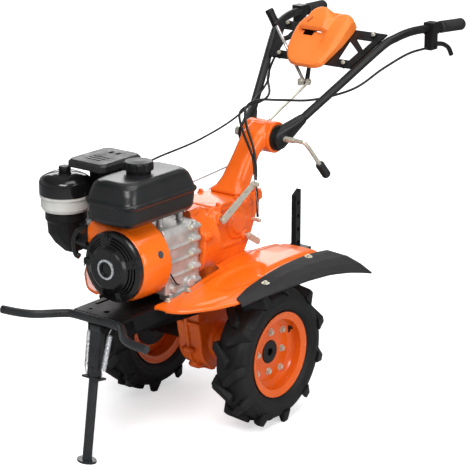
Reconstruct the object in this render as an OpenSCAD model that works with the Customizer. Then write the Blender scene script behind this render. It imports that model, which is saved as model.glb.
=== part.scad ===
// Hand tractor: a two-wheel walking tractor with a single-cylinder petrol engine.
// Millimetres. +X is forward, +Y is the operator's left, +Z is up, the ground is z = 0.
// Modules are drawn with the wheel axle at x = 0; place() moves them to the middle of the length.

/* [Wheels] */
// diameter over the lugs of the tyre
tyre_d = 400; // [396:1:406]
// width of the tyre
tyre_w = 104; // [96:1:108]
// distance between the middles of the two tyres
track = 417; // [412:1:430]
// diameter of the rim flange
flange_d = 236; // [230:1:240]
// height of the rim flange over the tyre's seat
flange_h = 16.5; // [15:0.5:18]
// height of the tyre's lugs
lug_h = 17; // [14:1:19]
// number of lugs on each half of a tyre
lug_n = 11; // [10:1:13]
// diameter of the black hub boss
boss_d = 64; // [58:1:68]

/* [Stand] */
// width of the foot plate of the stand
foot_w = 58; // [50:1:66]
// diameter of the stand's tube
leg_d = 25; // [22:1:28]

/* [Front frame] */
// diameter of the front guard tube
guard_d = 22; // [20:1:25]
// half of the width over the front guard's wings
guard_half = 245; // [236:1:256]
// spacing across of the bolt holes in the front plate
plate_hole_y = 100; // [90:1:110]
// diameter of the bolt holes in the front plate
plate_hole_d = 11; // [9:0.5:13]

/* [Engine] */
// diameter of the recoil starter cover
recoil_d = 188; // [180:1:192]
// length of the fuel tank
tank_l = 276; // [264:1:284]
// width of the fuel tank
tank_w = 160; // [150:1:164]
// diameter of the fuel cap
cap_d = 78; // [70:1:82]
// diameter of the air cleaner's cap
cleaner_d = 138; // [130:1:140]

/* [Handlebar] */
// diameter of the handlebar tubes
bar_d = 24; // [22:1:26]
// length of the rubber grips
grip_l = 126; // [110:1:130]
// diameter of the rubber grips
grip_d = 36; // [33:1:37]

/* [Rear hitch] */
// diameter of the hitch pin hole
hitch_pin_d = 17; // [14:0.5:19]
// gap between the two hitch plates
hitch_gap = 34; // [30:1:38]
// diameter of the holes along the depth bar
bar_hole_d = 13; // [10:0.5:14]

/* [Hidden] */
$fn = 64;
axle_z = 200;
lift = tyre_d / 2 - axle_z;
wheel_y = track / 2;
rim_seat_r = flange_d / 2 - flange_h;
bead_gap = 0.9;
lug_skew = 12;
lug_phase = 264;
guard_z = 376;
guard_x = 462;
front_x = guard_x + 87 + guard_d / 2;
crank_z = 499;
deck_top = 385;
deck_t = 6;
pivot = [-249, 0, 721];
stand_pivot = [452, 0, 352];
foot = [507, 0, -lift];
shaft_r = 16;
run_gap = 0.05;
bar_dir = [-0.761, 0.32, 0.564];
bar_start = [-249, 60, 721];
grip_start = [-757, 233, 974];
grip_dir = [-0.992, 0.119, -0.044];
grip_end = grip_start + grip_l * grip_dir;
rear_x = grip_end.x - grip_d / 2 * norm([grip_dir.y, grip_dir.z]);
shift_x = -(front_x + rear_x) / 2;
orange = [0.93, 0.33, 0.08];
light_orange = [0.97, 0.42, 0.12];
dark = [0.07, 0.07, 0.08];
rubber = [0.13, 0.13, 0.13];
silver = [0.72, 0.72, 0.7];
zinc = [0.75, 0.63, 0.35];
white = [0.88, 0.88, 0.85];

// unit vector
function unit(v) = v / norm(v);

// index of the largest value
function top_index(s) = [for (j = [0 : len(s) - 1]) if (s[j] == max(s)) j][0];

// outline round a set of discs [x, y, r], one point per normal direction
function outline(discs, n = 40) = [for (i = [0 : n - 1])
    let (a = 360 * (i + 0.5) / n, u = [cos(a), sin(a)],
         s = [for (d = discs) d[0] * u.x + d[1] * u.y + d[2]],
         k = top_index(s))
    [discs[k][0] + discs[k][2] * u.x, discs[k][1] + discs[k][2] * u.y]];

// four discs of a rounded rectangle round [cx, cy]
function box_discs(cx, cy, w, h, r) = [
    [cx + w / 2 - r, cy + h / 2 - r, r], [cx - w / 2 + r, cy + h / 2 - r, r],
    [cx - w / 2 + r, cy - h / 2 + r, r], [cx + w / 2 - r, cy - h / 2 + r, r]];

// 2-D ring set into space at o with axes u and v
function set_ring(ring, o, u, v) = [for (p = ring) o + p.x * u + p.y * v];

// closed solid through rings that turn anticlockwise about the way they go
module skin(rings) {
    n = len(rings[0]);
    m = len(rings);
    polyhedron(
        points = [for (r = rings) each r],
        faces = concat(
            [[for (i = [0 : n - 1]) i]],
            [[for (i = [n - 1 : -1 : 0]) (m - 1) * n + i]],
            [for (j = [0 : m - 2]) for (i = [0 : n - 1])
                let (k = (i + 1) % n)
                each [[j * n + i, (j + 1) * n + i, (j + 1) * n + k],
                      [j * n + i, (j + 1) * n + k, j * n + k]]]),
        convexity = 6);
}

// points of a smooth curve through p, n steps per span
function curve(p, n = 6) = concat(
    [for (i = [0 : len(p) - 2]) for (s = [0 : n - 1])
        let (t = s / n,
             a = i == 0 ? 2 * p[0] - p[1] : p[i - 1],
             b = p[i], c = p[i + 1],
             d = i == len(p) - 2 ? 2 * p[i + 1] - p[i] : p[i + 2])
        0.5 * (2 * b + (c - a) * t + (2 * a - 5 * b + 4 * c - d) * t * t
               + (3 * b - a - 3 * c + d) * t * t * t)],
    [p[len(p) - 1]]);

// tangent of a point list at i
function tangent(p, i) = unit(p[min(i + 1, len(p) - 1)] - p[max(i - 1, 0)]);

// round bar of radius r along the points p
module sweep(p, r, sides = 12, side_of = [0, 1, 0.02]) {
    ring = [for (i = [0 : sides - 1]) [r * cos(360 * i / sides), r * sin(360 * i / sides)]];
    skin([for (i = [0 : len(p) - 1])
        let (t = tangent(p, i), u = unit(cross(side_of, t)), v = cross(t, u))
        set_ring(ring, p[i], u, v)]);
}

// straight exact rod between two points
module rod(a, b, r) {
    d = b - a;
    translate(a)
        rotate([0, acos(d.z / norm(d)), atan2(d.y, d.x)])
            cylinder(r = r, h = norm(d));
}

// thin sheet ring in the y-z plane at x: pts = [y, z] of the top in rising y
function sheet_ring(x, pts, t) = concat(
    [for (i = [0 : len(pts) - 1]) [x, pts[i].x, pts[i].y - t]],
    [for (i = [len(pts) - 1 : -1 : 0]) [x, pts[i].x, pts[i].y]]);

// turned piece about +Y with its middle at [x, y, z]
module turned(x, y, z, sides = 96) {
    translate([x, y, z])
        rotate([-90, 0, 0])
            rotate_extrude($fn = sides)
                children();
}

// plate cut in the x-z plane, from y0 to y1
module side_plate(y0, y1) {
    translate([0, y1, 0])
        rotate([90, 0, 0])
            linear_extrude(y1 - y0)
                children();
}

module mirrored() {
    mirror([0, 1, 0])
        children();
}

module place() {
    translate([shift_x, 0, lift])
        children();
}

// wheels

// section of the carcass: x is the radius, y is along the axle
module tyre_shape() {
    f = flange_d / 2;
    s = rim_seat_r + bead_gap;
    r = tyre_d / 2 - lug_h;
    h = tyre_w / 2;
    function flip(p) = [for (i = [len(p) - 1 : -1 : 0]) [p[i].x, -p[i].y]];
    outer = [[s, 31], [s + 4, 34.2], [f + 0.5, 34.2], [f + 14, h - 6], [f + 32, h - 2],
             [r - 12, h - 6], [r, h - 24]];
    inner = [[r - 10, 12], [r - 14, h - 18], [f + 16, h - 14], [s, 18]];
    polygon(concat(outer, flip(outer), flip(inner), inner));
}

// thin block at the angle turn and the radius r, from y0 to y1 and w wide
module lug_block(turn, r, y0, y1, w) {
    rotate([0, -turn, 0])
        translate([sqrt(r * r - w * w / 4) - 1, y0, -w / 2])
            cube([1, y1 - y0, w]);
}

// one lug of the +y half: its inner end leads its shoulder by lug_skew
module lug() {
    r = tyre_d / 2;
    h = tyre_w / 2;
    hull() {
        lug_block(-lug_skew, r, -6, 4, 15);
        lug_block(-lug_skew, r - lug_h - 4, -9, 4, 24);
        lug_block(0, r, h - 18, h - 8, 18);
        lug_block(0, r - lug_h - 14, h - 12, h, 28);
    }
}

module tyre_left() {
    color(rubber) {
        turned(0, wheel_y, axle_z, 30)
            tyre_shape();
        translate([0, wheel_y, axle_z])
            for (i = [0 : lug_n - 1]) {
                rotate([0, -lug_phase - 360 * i / lug_n, 0])
                    lug();
                rotate([0, -lug_phase - 360 * (i + 0.5) / lug_n, 0])
                    mirrored()
                        lug();
            }
    }
}

module tyre_right() {
    mirrored()
        tyre_left();
}

module rim_shape() {
    f = flange_d / 2;
    s = rim_seat_r;
    polygon([
        [boss_d / 2 + 0.4, 2], [s - 20, 2], [s - 6, 8], [s - 3.5, 14], [s - 3.5, 35], [s + 6, 38],
            [f - 4, 38],
        [f, 40], [f - 1, 36], [f - 5, 34.5], [s + 3, 34.5], [s, 32], [s, -32], [s + 3, -34.5],
        [f - 5, -34.5], [f - 1, -36], [f, -40], [f - 4, -38], [s + 6, -38], [s - 3.5, -35], [s - 3.5, 2],
        [s - 8, -1], [s - 22, -3], [boss_d / 2 + 0.4, -3]]);
}

module rim_left() {
    color(orange)
        difference() {
            turned(0, wheel_y, axle_z)
                rim_shape();
            // slot for the valve
            translate([0, wheel_y, axle_z])
                rotate([0, -152, 0])
                    translate([rim_seat_r - 16, 5, -5])
                        cube([24, 12, 10]);
        }
}

module rim_right() {
    mirrored()
        rim_left();
}

module hub_left() {
    b = boss_d / 2;
    far = 78 - wheel_y;
    color(dark)
        turned(0, wheel_y, axle_z)
            polygon([
                [0, -8], [11, -8], [11, 4.5], [b - 1.5, 4.5], [b, 3], [b, -3],
                [70, -3], [70, -11], [b, -14], [b - 8, -24], [27, -30], [27, far], [shaft_r, far],
                [shaft_r, 26 - wheel_y], [0, 26 - wheel_y]]);
}

module hub_right() {
    mirrored()
        hub_left();
}

// drive

module axle_case() {
    color(orange)
        difference() {
            union() {
                side_plate(-40, 40) {
                    translate([0, axle_z])
                        circle(r = 82, $fn = 96);
                    polygon([[-80, axle_z], [80, axle_z], [92, 262], [96, 318], [88, 386], [-74, 386],
                        [-86, 300]]);
                }
                // seam flange of the two castings
                side_plate(-5, 5) {
                    translate([0, axle_z])
                        circle(r = 92, $fn = 96);
                    polygon([[-90, axle_z], [90, axle_z], [103, 262], [107, 318], [99, 386], [-84, 386],
                             [-96, 300]]);
                }
                for (a = [190 : 40 : 350])
                    rod([90 * cos(a), -13, axle_z + 90 * sin(a)], [90 * cos(a), 13,
                        axle_z + 90 * sin(a)], 9);
                // axle tubes with a shoulder
                rod([0, -70, axle_z], [0, 70, axle_z], 38);
                rod([0, -52, axle_z], [0, 52, axle_z], 50);
                rod([0, -76, axle_z], [0, 76, axle_z], 31);
                // rib across the front
                translate([60, -46, 262])
                    cube([40, 92, 8]);
            }
            rod([0, -80, axle_z], [0, 80, axle_z], shaft_r + run_gap);
        }
}

bell_lugs = [20 : 46 : 340];

module gearbox() {
    wall = [[78, 386], [84, 440], [84, 566], [62, 586], [44, 592], [-150, 592], [-158, 580],
            [-140, 530], [-120, 490], [-88, 440], [-74, 386]];
    inset = [[70, 386], [76, 440], [76, 560], [56, 578], [-144, 578], [-148, 570], [-130, 530], [-112, 492],
             [-80, 440], [-66, 386]];
    color(orange)
        difference() {
            union() {
                side_plate(-58, 58)
                    polygon(wall);
                side_plate(-66, 66)
                    polygon(inset);
                // top flange under the column
                translate([-158, -62, 580])
                    cube([206, 124, 12]);
                for (x = [-146, -96, -46, 34])
                    for (s = [-1, 1])
                        translate([x, s * 62, 572])
                            cylinder(r = 10, h = 20);
                // bell towards the engine, with its bolt lugs
                rod([60, 0, crank_z], [126, 0, crank_z], 94);
                rod([124, 0, crank_z], [136, 0, crank_z], 98);
                for (a = bell_lugs)
                    rod([104, 97 * cos(a), crank_z + 97 * sin(a)],
                        [136, 97 * cos(a), crank_z + 97 * sin(a)], 11);
                // bearing boss and cover on each side
                rod([-40, -72, 530], [-40, 72, 530], 44);
                rod([-40, -78, 530], [-40, 78, 530], 30);
                // bosses of the control shafts
                rod([45, 60, 560], [45, 82, 560], 15);
                rod([-70, 60, 488], [-70, 78, 488], 15);
                // belt rib round the waist
                side_plate(-70, 70)
                    polygon([[80, 470], [84, 478], [-112, 478], [-108, 470]]);
            }
            // shaft holes of the control arms
            rod([45, 40, 560], [45, 90, 560], 6 + run_gap);
            rod([-70, 40, 488], [-70, 90, 488], 6 + run_gap);
        }
}

// steering column

function column_ring(c, t, w, d, r) =
    set_ring(outline(box_discs(0, 0, w, d, r), 32), [c.x, 0, c.y], [0, 1, 0], [-t.y, 0, t.x]);

module column() {
    color(orange) {
        difference() {
            union() {
                skin([
                    column_ring([-111, 592.2], [0, 1], 104, 92, 18),
                    column_ring([-111, 600], [0, 1], 104, 92, 18),
                    column_ring([-114, 606], unit([-0.15, 1]), 86, 72, 22),
                    column_ring([-124, 618], unit([-0.4, 0.92]), 78, 62, 24),
                    column_ring([-149, 650], unit([-0.62, 0.78]), 72, 60, 24),
                    column_ring([-165, 675], unit([-0.67, 0.74]), 70, 52, 22),
                    column_ring([-181, 697], unit([-0.72, 0.69]), 70, 48, 20),
                    column_ring([-207, 719], unit([-0.8, 0.6]), 76, 58, 24),
                    column_ring([-236, 726], unit([-0.97, 0.22]), 84, 74, 26)]);
                rod([pivot.x, -47, pivot.z], [pivot.x, 47, pivot.z], 44);
            }
            rod([pivot.x, -60, pivot.z], [pivot.x, 60, pivot.z], 8.05);
        }
    }
}

// front frame, guard and stand

module front_frame() {
    deck_low = deck_top - deck_t;
    color(dark)
        difference() {
            union() {
                translate([120, -84, deck_low])
                    cube([guard_x - guard_d / 2 - 0.5 - 120, 168, deck_t]);
                // rails that carry the deck back to the axle case
                for (s = [-1, 1])
                    translate([0, s * 43 - 3, 0])
                        side_plate(0, 6)
                            polygon([[440, deck_top - 1], [440, 337], [360, 318], [110, 300], [40, 300],
                                     [40, 350], [121, deck_low - 8], [121, deck_top - 1]]);
                // turned-down skirts of the deck
                for (s = [-1, 1])
                    translate([0, s * 82 - 2, 0])
                        side_plate(0, 4)
                            polygon([[414, deck_top - 1], [396, 344], [150, 344], [132, deck_top - 1]]);
                translate([180, -40, 330])
                    cube([6, 80, 49]);
            }
            for (s = [-1, 1])
                translate([424, s * plate_hole_y / 2, 370])
                    cylinder(d = plate_hole_d, h = 30);
            translate([410, -8, 370])
                cube([16, 16, 30]);
            // long slots for the engine bolts
            for (s = [-1, 1])
                translate([330, s * 62 - 5, 370])
                    cube([60, 10, 30]);
        }
}

guard_side = [
    [guard_x, 20, guard_z], [guard_x, 76, guard_z], [guard_x + 8, 94, guard_z],
    [guard_x + 32, 120, guard_z], [guard_x + 56, 144, guard_z], [guard_x + 72, 170, guard_z],
    [guard_x + 82, 205, guard_z], [guard_x + 87, guard_half, guard_z]];

module front_guard() {
    left = curve(guard_side, 3);
    n = len(left);
    color(dark)
        sweep(concat([for (i = [n - 1 : -1 : 0]) [left[i].x, -left[i].y, left[i].z]], left),
              guard_d / 2, 12, [0, 0, 1]);
}

module stand_bracket() {
    color(dark)
        difference() {
            union() {
                for (s = [-1, 1])
                    side_plate(s * 22 - 2, s * 22 + 2) {
                        polygon([[430, 378.8], [446, 378.8], [450, 366], [466, 352], [438, 352]]);
                        translate([stand_pivot.x, stand_pivot.z])
                            circle(r = 12.5);
                    }
                translate([432, -24, 374.8])
                    cube([14, 48, 4]);
                rod([stand_pivot.x, -28, stand_pivot.z], [stand_pivot.x, 28, stand_pivot.z], 6);
                // spring eyes
                for (s = [-1, 1])
                    translate([434, s * 31 - 8, 354])
                        cube([15, 16, 4]);
            }
            translate([424, 0, 370])
                cylinder(d = 16.4, h = 30);
        }
}

leg_len = norm(foot - stand_pivot);
leg_tilt = atan2(foot.x - stand_pivot.x, stand_pivot.z - foot.z);

module stand_leg() {
    color(dark)
        difference() {
            union() {
                translate(stand_pivot)
                    rotate([0, -leg_tilt, 0]) {
                        rod([0, -18, 0], [0, 18, 0], 13);
                        translate([-9, -17, -128])
                            cube([18, 34, 128]);
                        translate([0, 0, 4 - leg_len])
                            cylinder(d = leg_d, h = leg_len - 110);
                        translate([-14, -30, -134])
                            cube([28, 60, 5]);
                    }
                translate(foot)
                    scale([0.7, 1, 1])
                        cylinder(d = foot_w, h = 6);
            }
            rod([stand_pivot.x, -30, stand_pivot.z], [stand_pivot.x, 30, stand_pivot.z], 6 + run_gap);
            translate(foot + [-60, -60, -20])
                cube([120, 120, 20]);
        }
}

module stand_springs() {
    color(silver)
        for (s = [-1, 1]) {
            a = [441, s * 32, 352.4];
            b = stand_pivot + [sin(leg_tilt) * 126 - 2, s * 25, -cos(leg_tilt) * 126];
            rod(a, b, 6);
        }
}

// engine

module crankcase() {
    color(silver) {
        translate([136.3, -88, 404])
            cube([138, 158, 176]);
        // rounded shoulder along the near side
        translate([136.3, 50, 404])
            cube([138, 28, 156]);
        rod([136.3, 58, 560], [274.3, 58, 560], 19.6);
        // seam flange of the rear cover, with its bolt bosses
        translate([150, -92, 400])
            cube([12, 176, 182]);
        for (z = [420, 458, 496, 534, 568])
            rod([140, 82, z], [176, 82, z], 8.5);
        // ribs along the near side
        for (z = [448, 486, 524])
            translate([160, 60, z])
                cube([112, 22, 5]);
        // mounting feet
        for (s = [-1, 1])
            translate([150, s * 62 - 20, deck_top])
                cube([110, 40, 20]);
        // tank posts
        for (x = [170, 250])
            rod([x, 40, 570], [x, 40, 613], 9);
        // oil filler and drain bosses
        rod([186, 60, 421], [186, 92, 421], 13);
        rod([248, 60, 418], [248, 86, 418], 10);
    }
}

module cylinder_head() {
    color(silver) {
        for (i = [0 : 8])
            translate([150, -104 - 12 * i, 470 + 2 * i])
                cube([108, 6, 112]);
        translate([165, -208, 500])
            cube([88, 119.8, 76]);
        translate([158, -226, 500])
            cube([96, 20, 84]);
    }
}

shroud_back = [[0, 0, 103], [-78, 80, 32], [20, 84, 24]];
shroud_front = [[0, 0, 95], [-72, 76, 26], [14, 76, 22]];

module fan_shroud() {
    function at(x, d) = set_ring(outline(d, 48), [x, 0, crank_z], [0, 1, 0], [0, 0, 1]);
    function blend(t) = [for (i = [0 : 2]) shroud_back[i] * (1 - t) + shroud_front[i] * t];
    color(orange)
        skin([at(275, shroud_back), at(330, blend(0.15)), at(360, blend(0.45)), at(374, blend(0.8)),
              at(379, blend(1.1))]);
}

// sectors of the louvres, as angles from +Y towards +Z
recoil_sectors = [[26, 88], [-52, 8], [200, 258], [116, 158]];
recoil_arms = [17, 100, 178, 290];

module recoil_cover() {
    r = recoil_d / 2;
    function wedge(a, b) = concat([[0, 0]],
        [for (i = [0 : 6]) 120 * [cos(a + (b - a) * i / 6), sin(a + (b - a) * i / 6)]]);
    color(dark)
        translate([379.2, 0, crank_z])
            rotate([90, 0, 90]) {
                difference() {
                    rotate_extrude($fn = 96)
                        polygon([[0, 0], [r, 0], [r, 11], [r - 3, 15], [r - 12, 17], [60, 27], [56, 35],
                            [52, 38],
                                 [25, 38], [24, 41], [17, 41], [16, 36], [0, 36]]);
                    // louvres in rings, cut in the sectors between the arms
                    intersection() {
                        rotate_extrude($fn = 96)
                            for (k = [63 : 7 : 80])
                                translate([k, 8])
                                    square([4, 24]);
                        linear_extrude(60)
                            for (s = recoil_sectors)
                                polygon(wedge(s[0], s[1]));
                    }
                }
                // arms over the louvres, with a bolt seat at the rim
                for (a = recoil_arms)
                    rotate([0, 0, a]) {
                        translate([54, -8, 6])
                            cube([r - 58, 16, 18]);
                        translate([r - 10, 0, 0])
                            cylinder(r = 9, h = 19);
                    }
            }
}

module recoil_handle() {
    color(dark) {
        sweep(curve([[392, -96, 577], [394, -112, 577], [396, -124, 562], [396, -128, 538],
            [394, -124, 512],
                     [392, -114, 506]], 4), 8, 12, [1, 0, 0.02]);
        rod([394, -124, 546], [392, -85.4, 546], 7);
    }
}

tank_mid = [283, 8.5];

module fuel_tank() {
    function at(z, g, r) = [for (p = outline(box_discs(tank_mid.x, tank_mid.y, tank_l + 2 * g,
        tank_w + 2 * g, r), 40))
        [p.x, p.y, z]];
    color(dark)
        skin([at(613.2, -20, 20), at(617, -12, 24), at(628, -4, 28), at(668, 0, 30), at(669, 5, 34),
              at(677, 5, 34), at(678, 0, 30), at(700, -5, 32), at(715, -10, 34), at(724, -17, 36),
              at(729, -28, 36)]);
}

module tank_cap() {
    grips = 12;
    color(dark)
        translate([290, 5, 729.3])
            difference() {
                rotate_extrude($fn = 96)
                    polygon([[0, 0], [cap_d / 2 - 7, 0], [cap_d / 2 - 6, 8], [cap_d / 2, 10],
                        [cap_d / 2, 26],
                             [cap_d / 2 - 4, 31], [16, 34], [0, 34]]);
                for (i = [0 : grips - 1])
                    rotate([0, 0, 360 * i / grips])
                        translate([cap_d / 2 + 2, 0, 12])
                            cylinder(r = 5, h = 30);
            }
}

cleaner = [330, -216];

module cleaner_cap() {
    r = cleaner_d / 2;
    color(dark)
        translate([cleaner.x, cleaner.y, 646]) {
            rotate_extrude($fn = 96)
                polygon([[0, 0], [r, 0], [r, 34], [r - 4, 42], [r - 24, 53], [20, 57], [18, 60],
                    [12, 62], [12, 66],
                         [0, 66]]);
            // wing knob
            translate([0, 0, 60]) {
                cylinder(r = 18, h = 10);
                cylinder(r = 14, h = 16);
            }
            // ribs over the shoulder
            for (a = [0 : 60 : 300])
                rotate([0, 0, a])
                    translate([22, -4, 40])
                        cube([r - 30, 8, 15]);
        }
}

module cleaner_bowl() {
    r = cleaner_d / 2 - 3;
    color(white)
        translate([cleaner.x, cleaner.y, 603])
            rotate_extrude($fn = 96)
                polygon([[0, 0], [r - 6, 0], [r - 1, 8], [r, 42.7], [0, 42.7]]);
}

module cleaner_base() {
    r = cleaner_d / 2 - 14;
    function at(z, dx, dy, w, h, c) = [for (p = outline(box_discs(cleaner.x + dx, cleaner.y + dy, w, h,
        c), 32))
        [p.x, p.y, z]];
    color(dark) {
        translate([cleaner.x, cleaner.y, 572])
            rotate_extrude($fn = 96)
                polygon([[0, 0], [r - 4, 0], [r, 6], [r, 30.7], [0, 30.7]]);
        // duct that narrows down to the intake
        skin([at(496, 4, 28, 44, 40, 14), at(516, 2, 14, 70, 70, 22), at(540, 0, 2, 94, 94, 40),
              at(573, 0, 0, 100, 100, 48)]);
    }
}

module carburettor() {
    color(dark) {
        translate([288, -162.45, 505])
            cube([50, 51.75, 70]);
        rod([258.4, -136, 545], [290, -136, 545], 20);
    }
}

module muffler() {
    color(dark) {
        translate([172, -196, 612])
            cube([84, 104, 111.8]);
        rod([204, -150, 592.3], [204, -150, 614], 16);
    }
}

module muffler_guard() {
    function at(z, g) = [for (p = outline(box_discs(262, -136, 164 + 2 * g, 128 + 2 * g, 18), 32)) [p.x,
        p.y, z]];
    color(dark)
        difference() {
            skin([at(724, 0), at(738, 0), at(745, -6)]);
            // vent holes over the outlet
            for (dy = [-16, 8])
                translate([214, -136 + dy, 735])
                    cube([20, 12, 20]);
            for (dx = [272, 288, 304])
                translate([dx, -164, 741])
                    cube([6, 56, 10]);
        }
}

// handlebar

bar_path = curve([bar_start + 40 * bar_dir, bar_start + 220 * bar_dir, bar_start + 395 * bar_dir,
                  [-596, 202, 964], [-650, 213, 974], [-704, 223, 976],
                  grip_start, grip_start + 20 * grip_dir], 4);

module handle_left() {
    color(dark) {
        sweep(bar_path, bar_d / 2, 14, [0.3, 1, 0]);
        difference() {
            union() {
                rod([pivot.x, 47.4, pivot.z], [pivot.x, 56, pivot.z], 36);
                hull() {
                    rod([pivot.x, 49, pivot.z], [pivot.x, 66, pivot.z], 30);
                    translate(bar_start + 80 * bar_dir)
                        sphere(r = bar_d / 2 + 3, $fn = 16);
                }
            }
            rod([pivot.x, 30, pivot.z], [pivot.x, 90, pivot.z], 8.05);
        }
    }
}

module handle_right() {
    mirrored()
        handle_left();
}

// rings [place along the grip, share of its radius]
grip_rings = [[20.8, 0.86], [24, 1], [34, 1], [35, 0.9], [grip_l - 18, 0.92], [grip_l - 8, 0.98],
    [grip_l, 0.84]];

module grip_left() {
    ring = [for (i = [0 : 19]) grip_d / 2 * [cos(18 * i), sin(18 * i)]];
    u = unit(cross([0.3, 1, 0], grip_dir));
    color(dark)
        skin([for (g = grip_rings) set_ring(ring * g[1], grip_start + g[0] * grip_dir, u,
            cross(grip_dir, u))]);
}

module grip_right() {
    mirrored()
        grip_left();
}

module clutch_lever_left() {
    c = grip_start + [18, 0, 0];
    color(dark) {
        difference() {
            union() {
                // clamp round the tube
                translate(c + [0, 0, 2])
                    cube([34, 32, 34], center = true);
                // housing that carries the lever's pin
                translate(c + [-17, -12, -60])
                    cube([34, 24, 58]);
            }
            // seat of the tube
            rod(grip_start + [53, -10, 2], grip_start, bar_d / 2 + 0.9);
            rod(grip_start - 6 * grip_dir, grip_start + 20 * grip_dir, bar_d / 2 + 0.9);
        }
        rod(c + [-8, -15, -50], c + [-8, 15, -50], 6);
        sweep(curve([c + [-14, 0, -44], c + [-36, 2, -49], c + [-60, 5, -54], c + [-84, 8, -68],
            c + [-98, 10, -90]], 4),
              7, 10, [0.3, 1, 0]);
    }
}

module clutch_lever_right() {
    mirrored()
        clutch_lever_left();
}

// panel

panel_o = [-440, 0, 876];
panel_s = [-0.804, 0, 0.595];
panel_n = [0.595, 0, 0.804];

// children drawn in the panel's own plane: x is across, y is up the slope, z is out of the face
module on_panel() {
    multmatrix([[0, panel_s.x, panel_n.x, panel_o.x],
                [1, 0, 0, panel_o.y],
                [0, panel_s.z, panel_n.z, panel_o.z]])
        children();
}

// pivot of the gear lever on the bracket's tongue
shift_pivot = [-458, -8, 836];

// places of the bracket's bolt bosses [across, up the slope]
bracket_bolts = [[112, 42], [150, 158]];

module panel_bracket() {
    e = 131;
    color(dark)
        difference() {
            union() {
                side_plate(shift_pivot.y + 1, shift_pivot.y + 5.6)
                    polygon([[-468, 892], [-480, 892], [-468, 826], [-448, 826]]);
                on_panel()
                    translate([0, 0, -6])
                        linear_extrude(5.7)
                            difference() {
                                polygon([[-e - 0.338 * 30, 30], [e + 0.338 * 30, 30],
                                    [e + 0.338 * 170, 170],
                                         [-e - 0.338 * 170, 170]]);
                                for (s = [-1, 1]) {
                                    polygon([[s * 84, 56], [s * 122, 56], [s * 134, 90], [s * 84, 128]]);
                                    polygon([[s * 100, 140], [s * 144, 102], [s * 156, 140]]);
                                }
                                polygon([[-50, 60], [50, 60], [50, 150], [-50, 150]]);
                            }
                on_panel()
                    for (b = bracket_bolts)
                        for (s = [-1, 1])
                            translate([s * b.x, b.y, -11])
                                cylinder(r = 10, h = 15);
            }
            rod(shift_pivot, shift_pivot + [0, 30, 0], 4.1);
            on_panel()
                for (b = bracket_bolts)
                    for (s = [-1, 1])
                        translate([s * b.x, b.y, -20])
                            cylinder(r = 4, h = 40);
        }
}

// outline of the cover in the panel's plane: [place up the slope, left edge, right edge]
cover_edge = [[6, -30, 26], [10, -52, 40], [18, -64, 52], [34, -76, 58], [60, -88, 66], [100, -94, 77],
              [140, -96, 82], [166, -88, 84], [178, -76, 82], [186, -62, 76], [191, -52, 68],
              [195, -38, 58]];
cover_places = [6, 10, 18, 34, 60, 85, 105, 116, 119, 122, 134, 148, 160, 170, 178, 184, 188, 191, 195];
cover_t = 3;
cover_across = 20;

// height of a rounded block w from its edge, h high, with the corner radius r
function shoulder(d, h, r) = d <= 0 ? 0 : d >= r ? h : h - r + sqrt(max(0, r * r - (r - d) * (r - d)));
function pan_h(s) = lookup(s, [[6, 15], [18, 19], [119, 29], [195, 33]]);
function hood_h(s) = s < 118 ? 0 : lookup(s, [[118, 0], [119, 40], [122, 47], [150, 58], [195, 66]]);
function pod_h(s) = s < 60 ? 0 : lookup(s, [[60, 22], [105, 36], [150, 43], [195, 44]]);

// distance in from the edge of a lobe that ends in a half disc of radius r round c = [across, up the slope];
// its left edge leans out by spread for each millimetre down the slope
function lobe(y, s, c, r, spread) = s > c.y ? r - norm([y - c.x, s - c.y]) :
    let (lean = 0.5 * spread * (c.y - s)) r + lean - abs(y - c.x + lean);

// height of the cover at y across and s up the slope, between its edges a and b
function cover_h(y, s, a, b) = max(
    shoulder(min(y - a, b - y), pan_h(s), 10),
    shoulder(lobe(y, s, [-17, 152], 42, 0.6), hood_h(s), 18),
    shoulder(min(y - 14, b - y, lobe(y, s, [51, 158], 36, 0)), pod_h(s), 16));

// a point of the cover's face: [across, up the slope, height] at step i across row j
function cover_point(i, j) = let (
    s = cover_places[j],
    a = lookup(s, [for (e = cover_edge) [e[0], e[1]]]),
    b = lookup(s, [for (e = cover_edge) [e[0], e[2]]]),
    y = a + (b - a) * min(max(i, 0.08), cover_across - 0.08) / cover_across)
    [y, s, cover_h(y, s, a, b)];

cover_face = [for (j = [0 : len(cover_places) - 1]) [for (i = [0 : cover_across]) cover_point(i, j)]];

// lowest height of the face round the step i of row j
function cover_low(i, j) = min([for (k = [max(j - 1, 0) : min(j + 1, len(cover_places) - 1)])
    for (h = [max(i - 1, 0) : min(i + 1, cover_across)]) cover_face[k][h].z]);

// solid under the cover's face, drawn in by g on every side and reaching down to low
module cover_form(g, low) {
    n = cover_across;
    last = len(cover_places) - 1;
    on_panel()
        skin([for (j = [0 : last])
            let (row = cover_face[j], s = min(max(row[0].y, cover_places[0] + g), cover_places[last] - g),
                 a = row[0].x + g, b = row[n].x - g)
            concat([[b, s, low], [a, s, low]],
                   [for (i = [0 : n])
                       [min(max(row[i].x, a), b), s, max((g > 0 ? cover_low(i, j) : row[i].z) - g,
                           low + 1)]])]);
}

module panel_cover() {
    color(light_orange)
        difference() {
            cover_form(0, 0.3);
            cover_form(cover_t, -6);
            // mouth under the hood's lip, and the slot on the hood
            on_panel() {
                translate([-72, 113, 27])
                    cube([76, 12, 7]);
                translate([-56, 104, 18])
                    cube([34, 16, 14]);
                translate([-40, 140, 40])
                    rotate([0, 0, 45])
                        translate([-11, -3, 0])
                            cube([22, 6, 30]);
            }
        }
}

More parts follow.
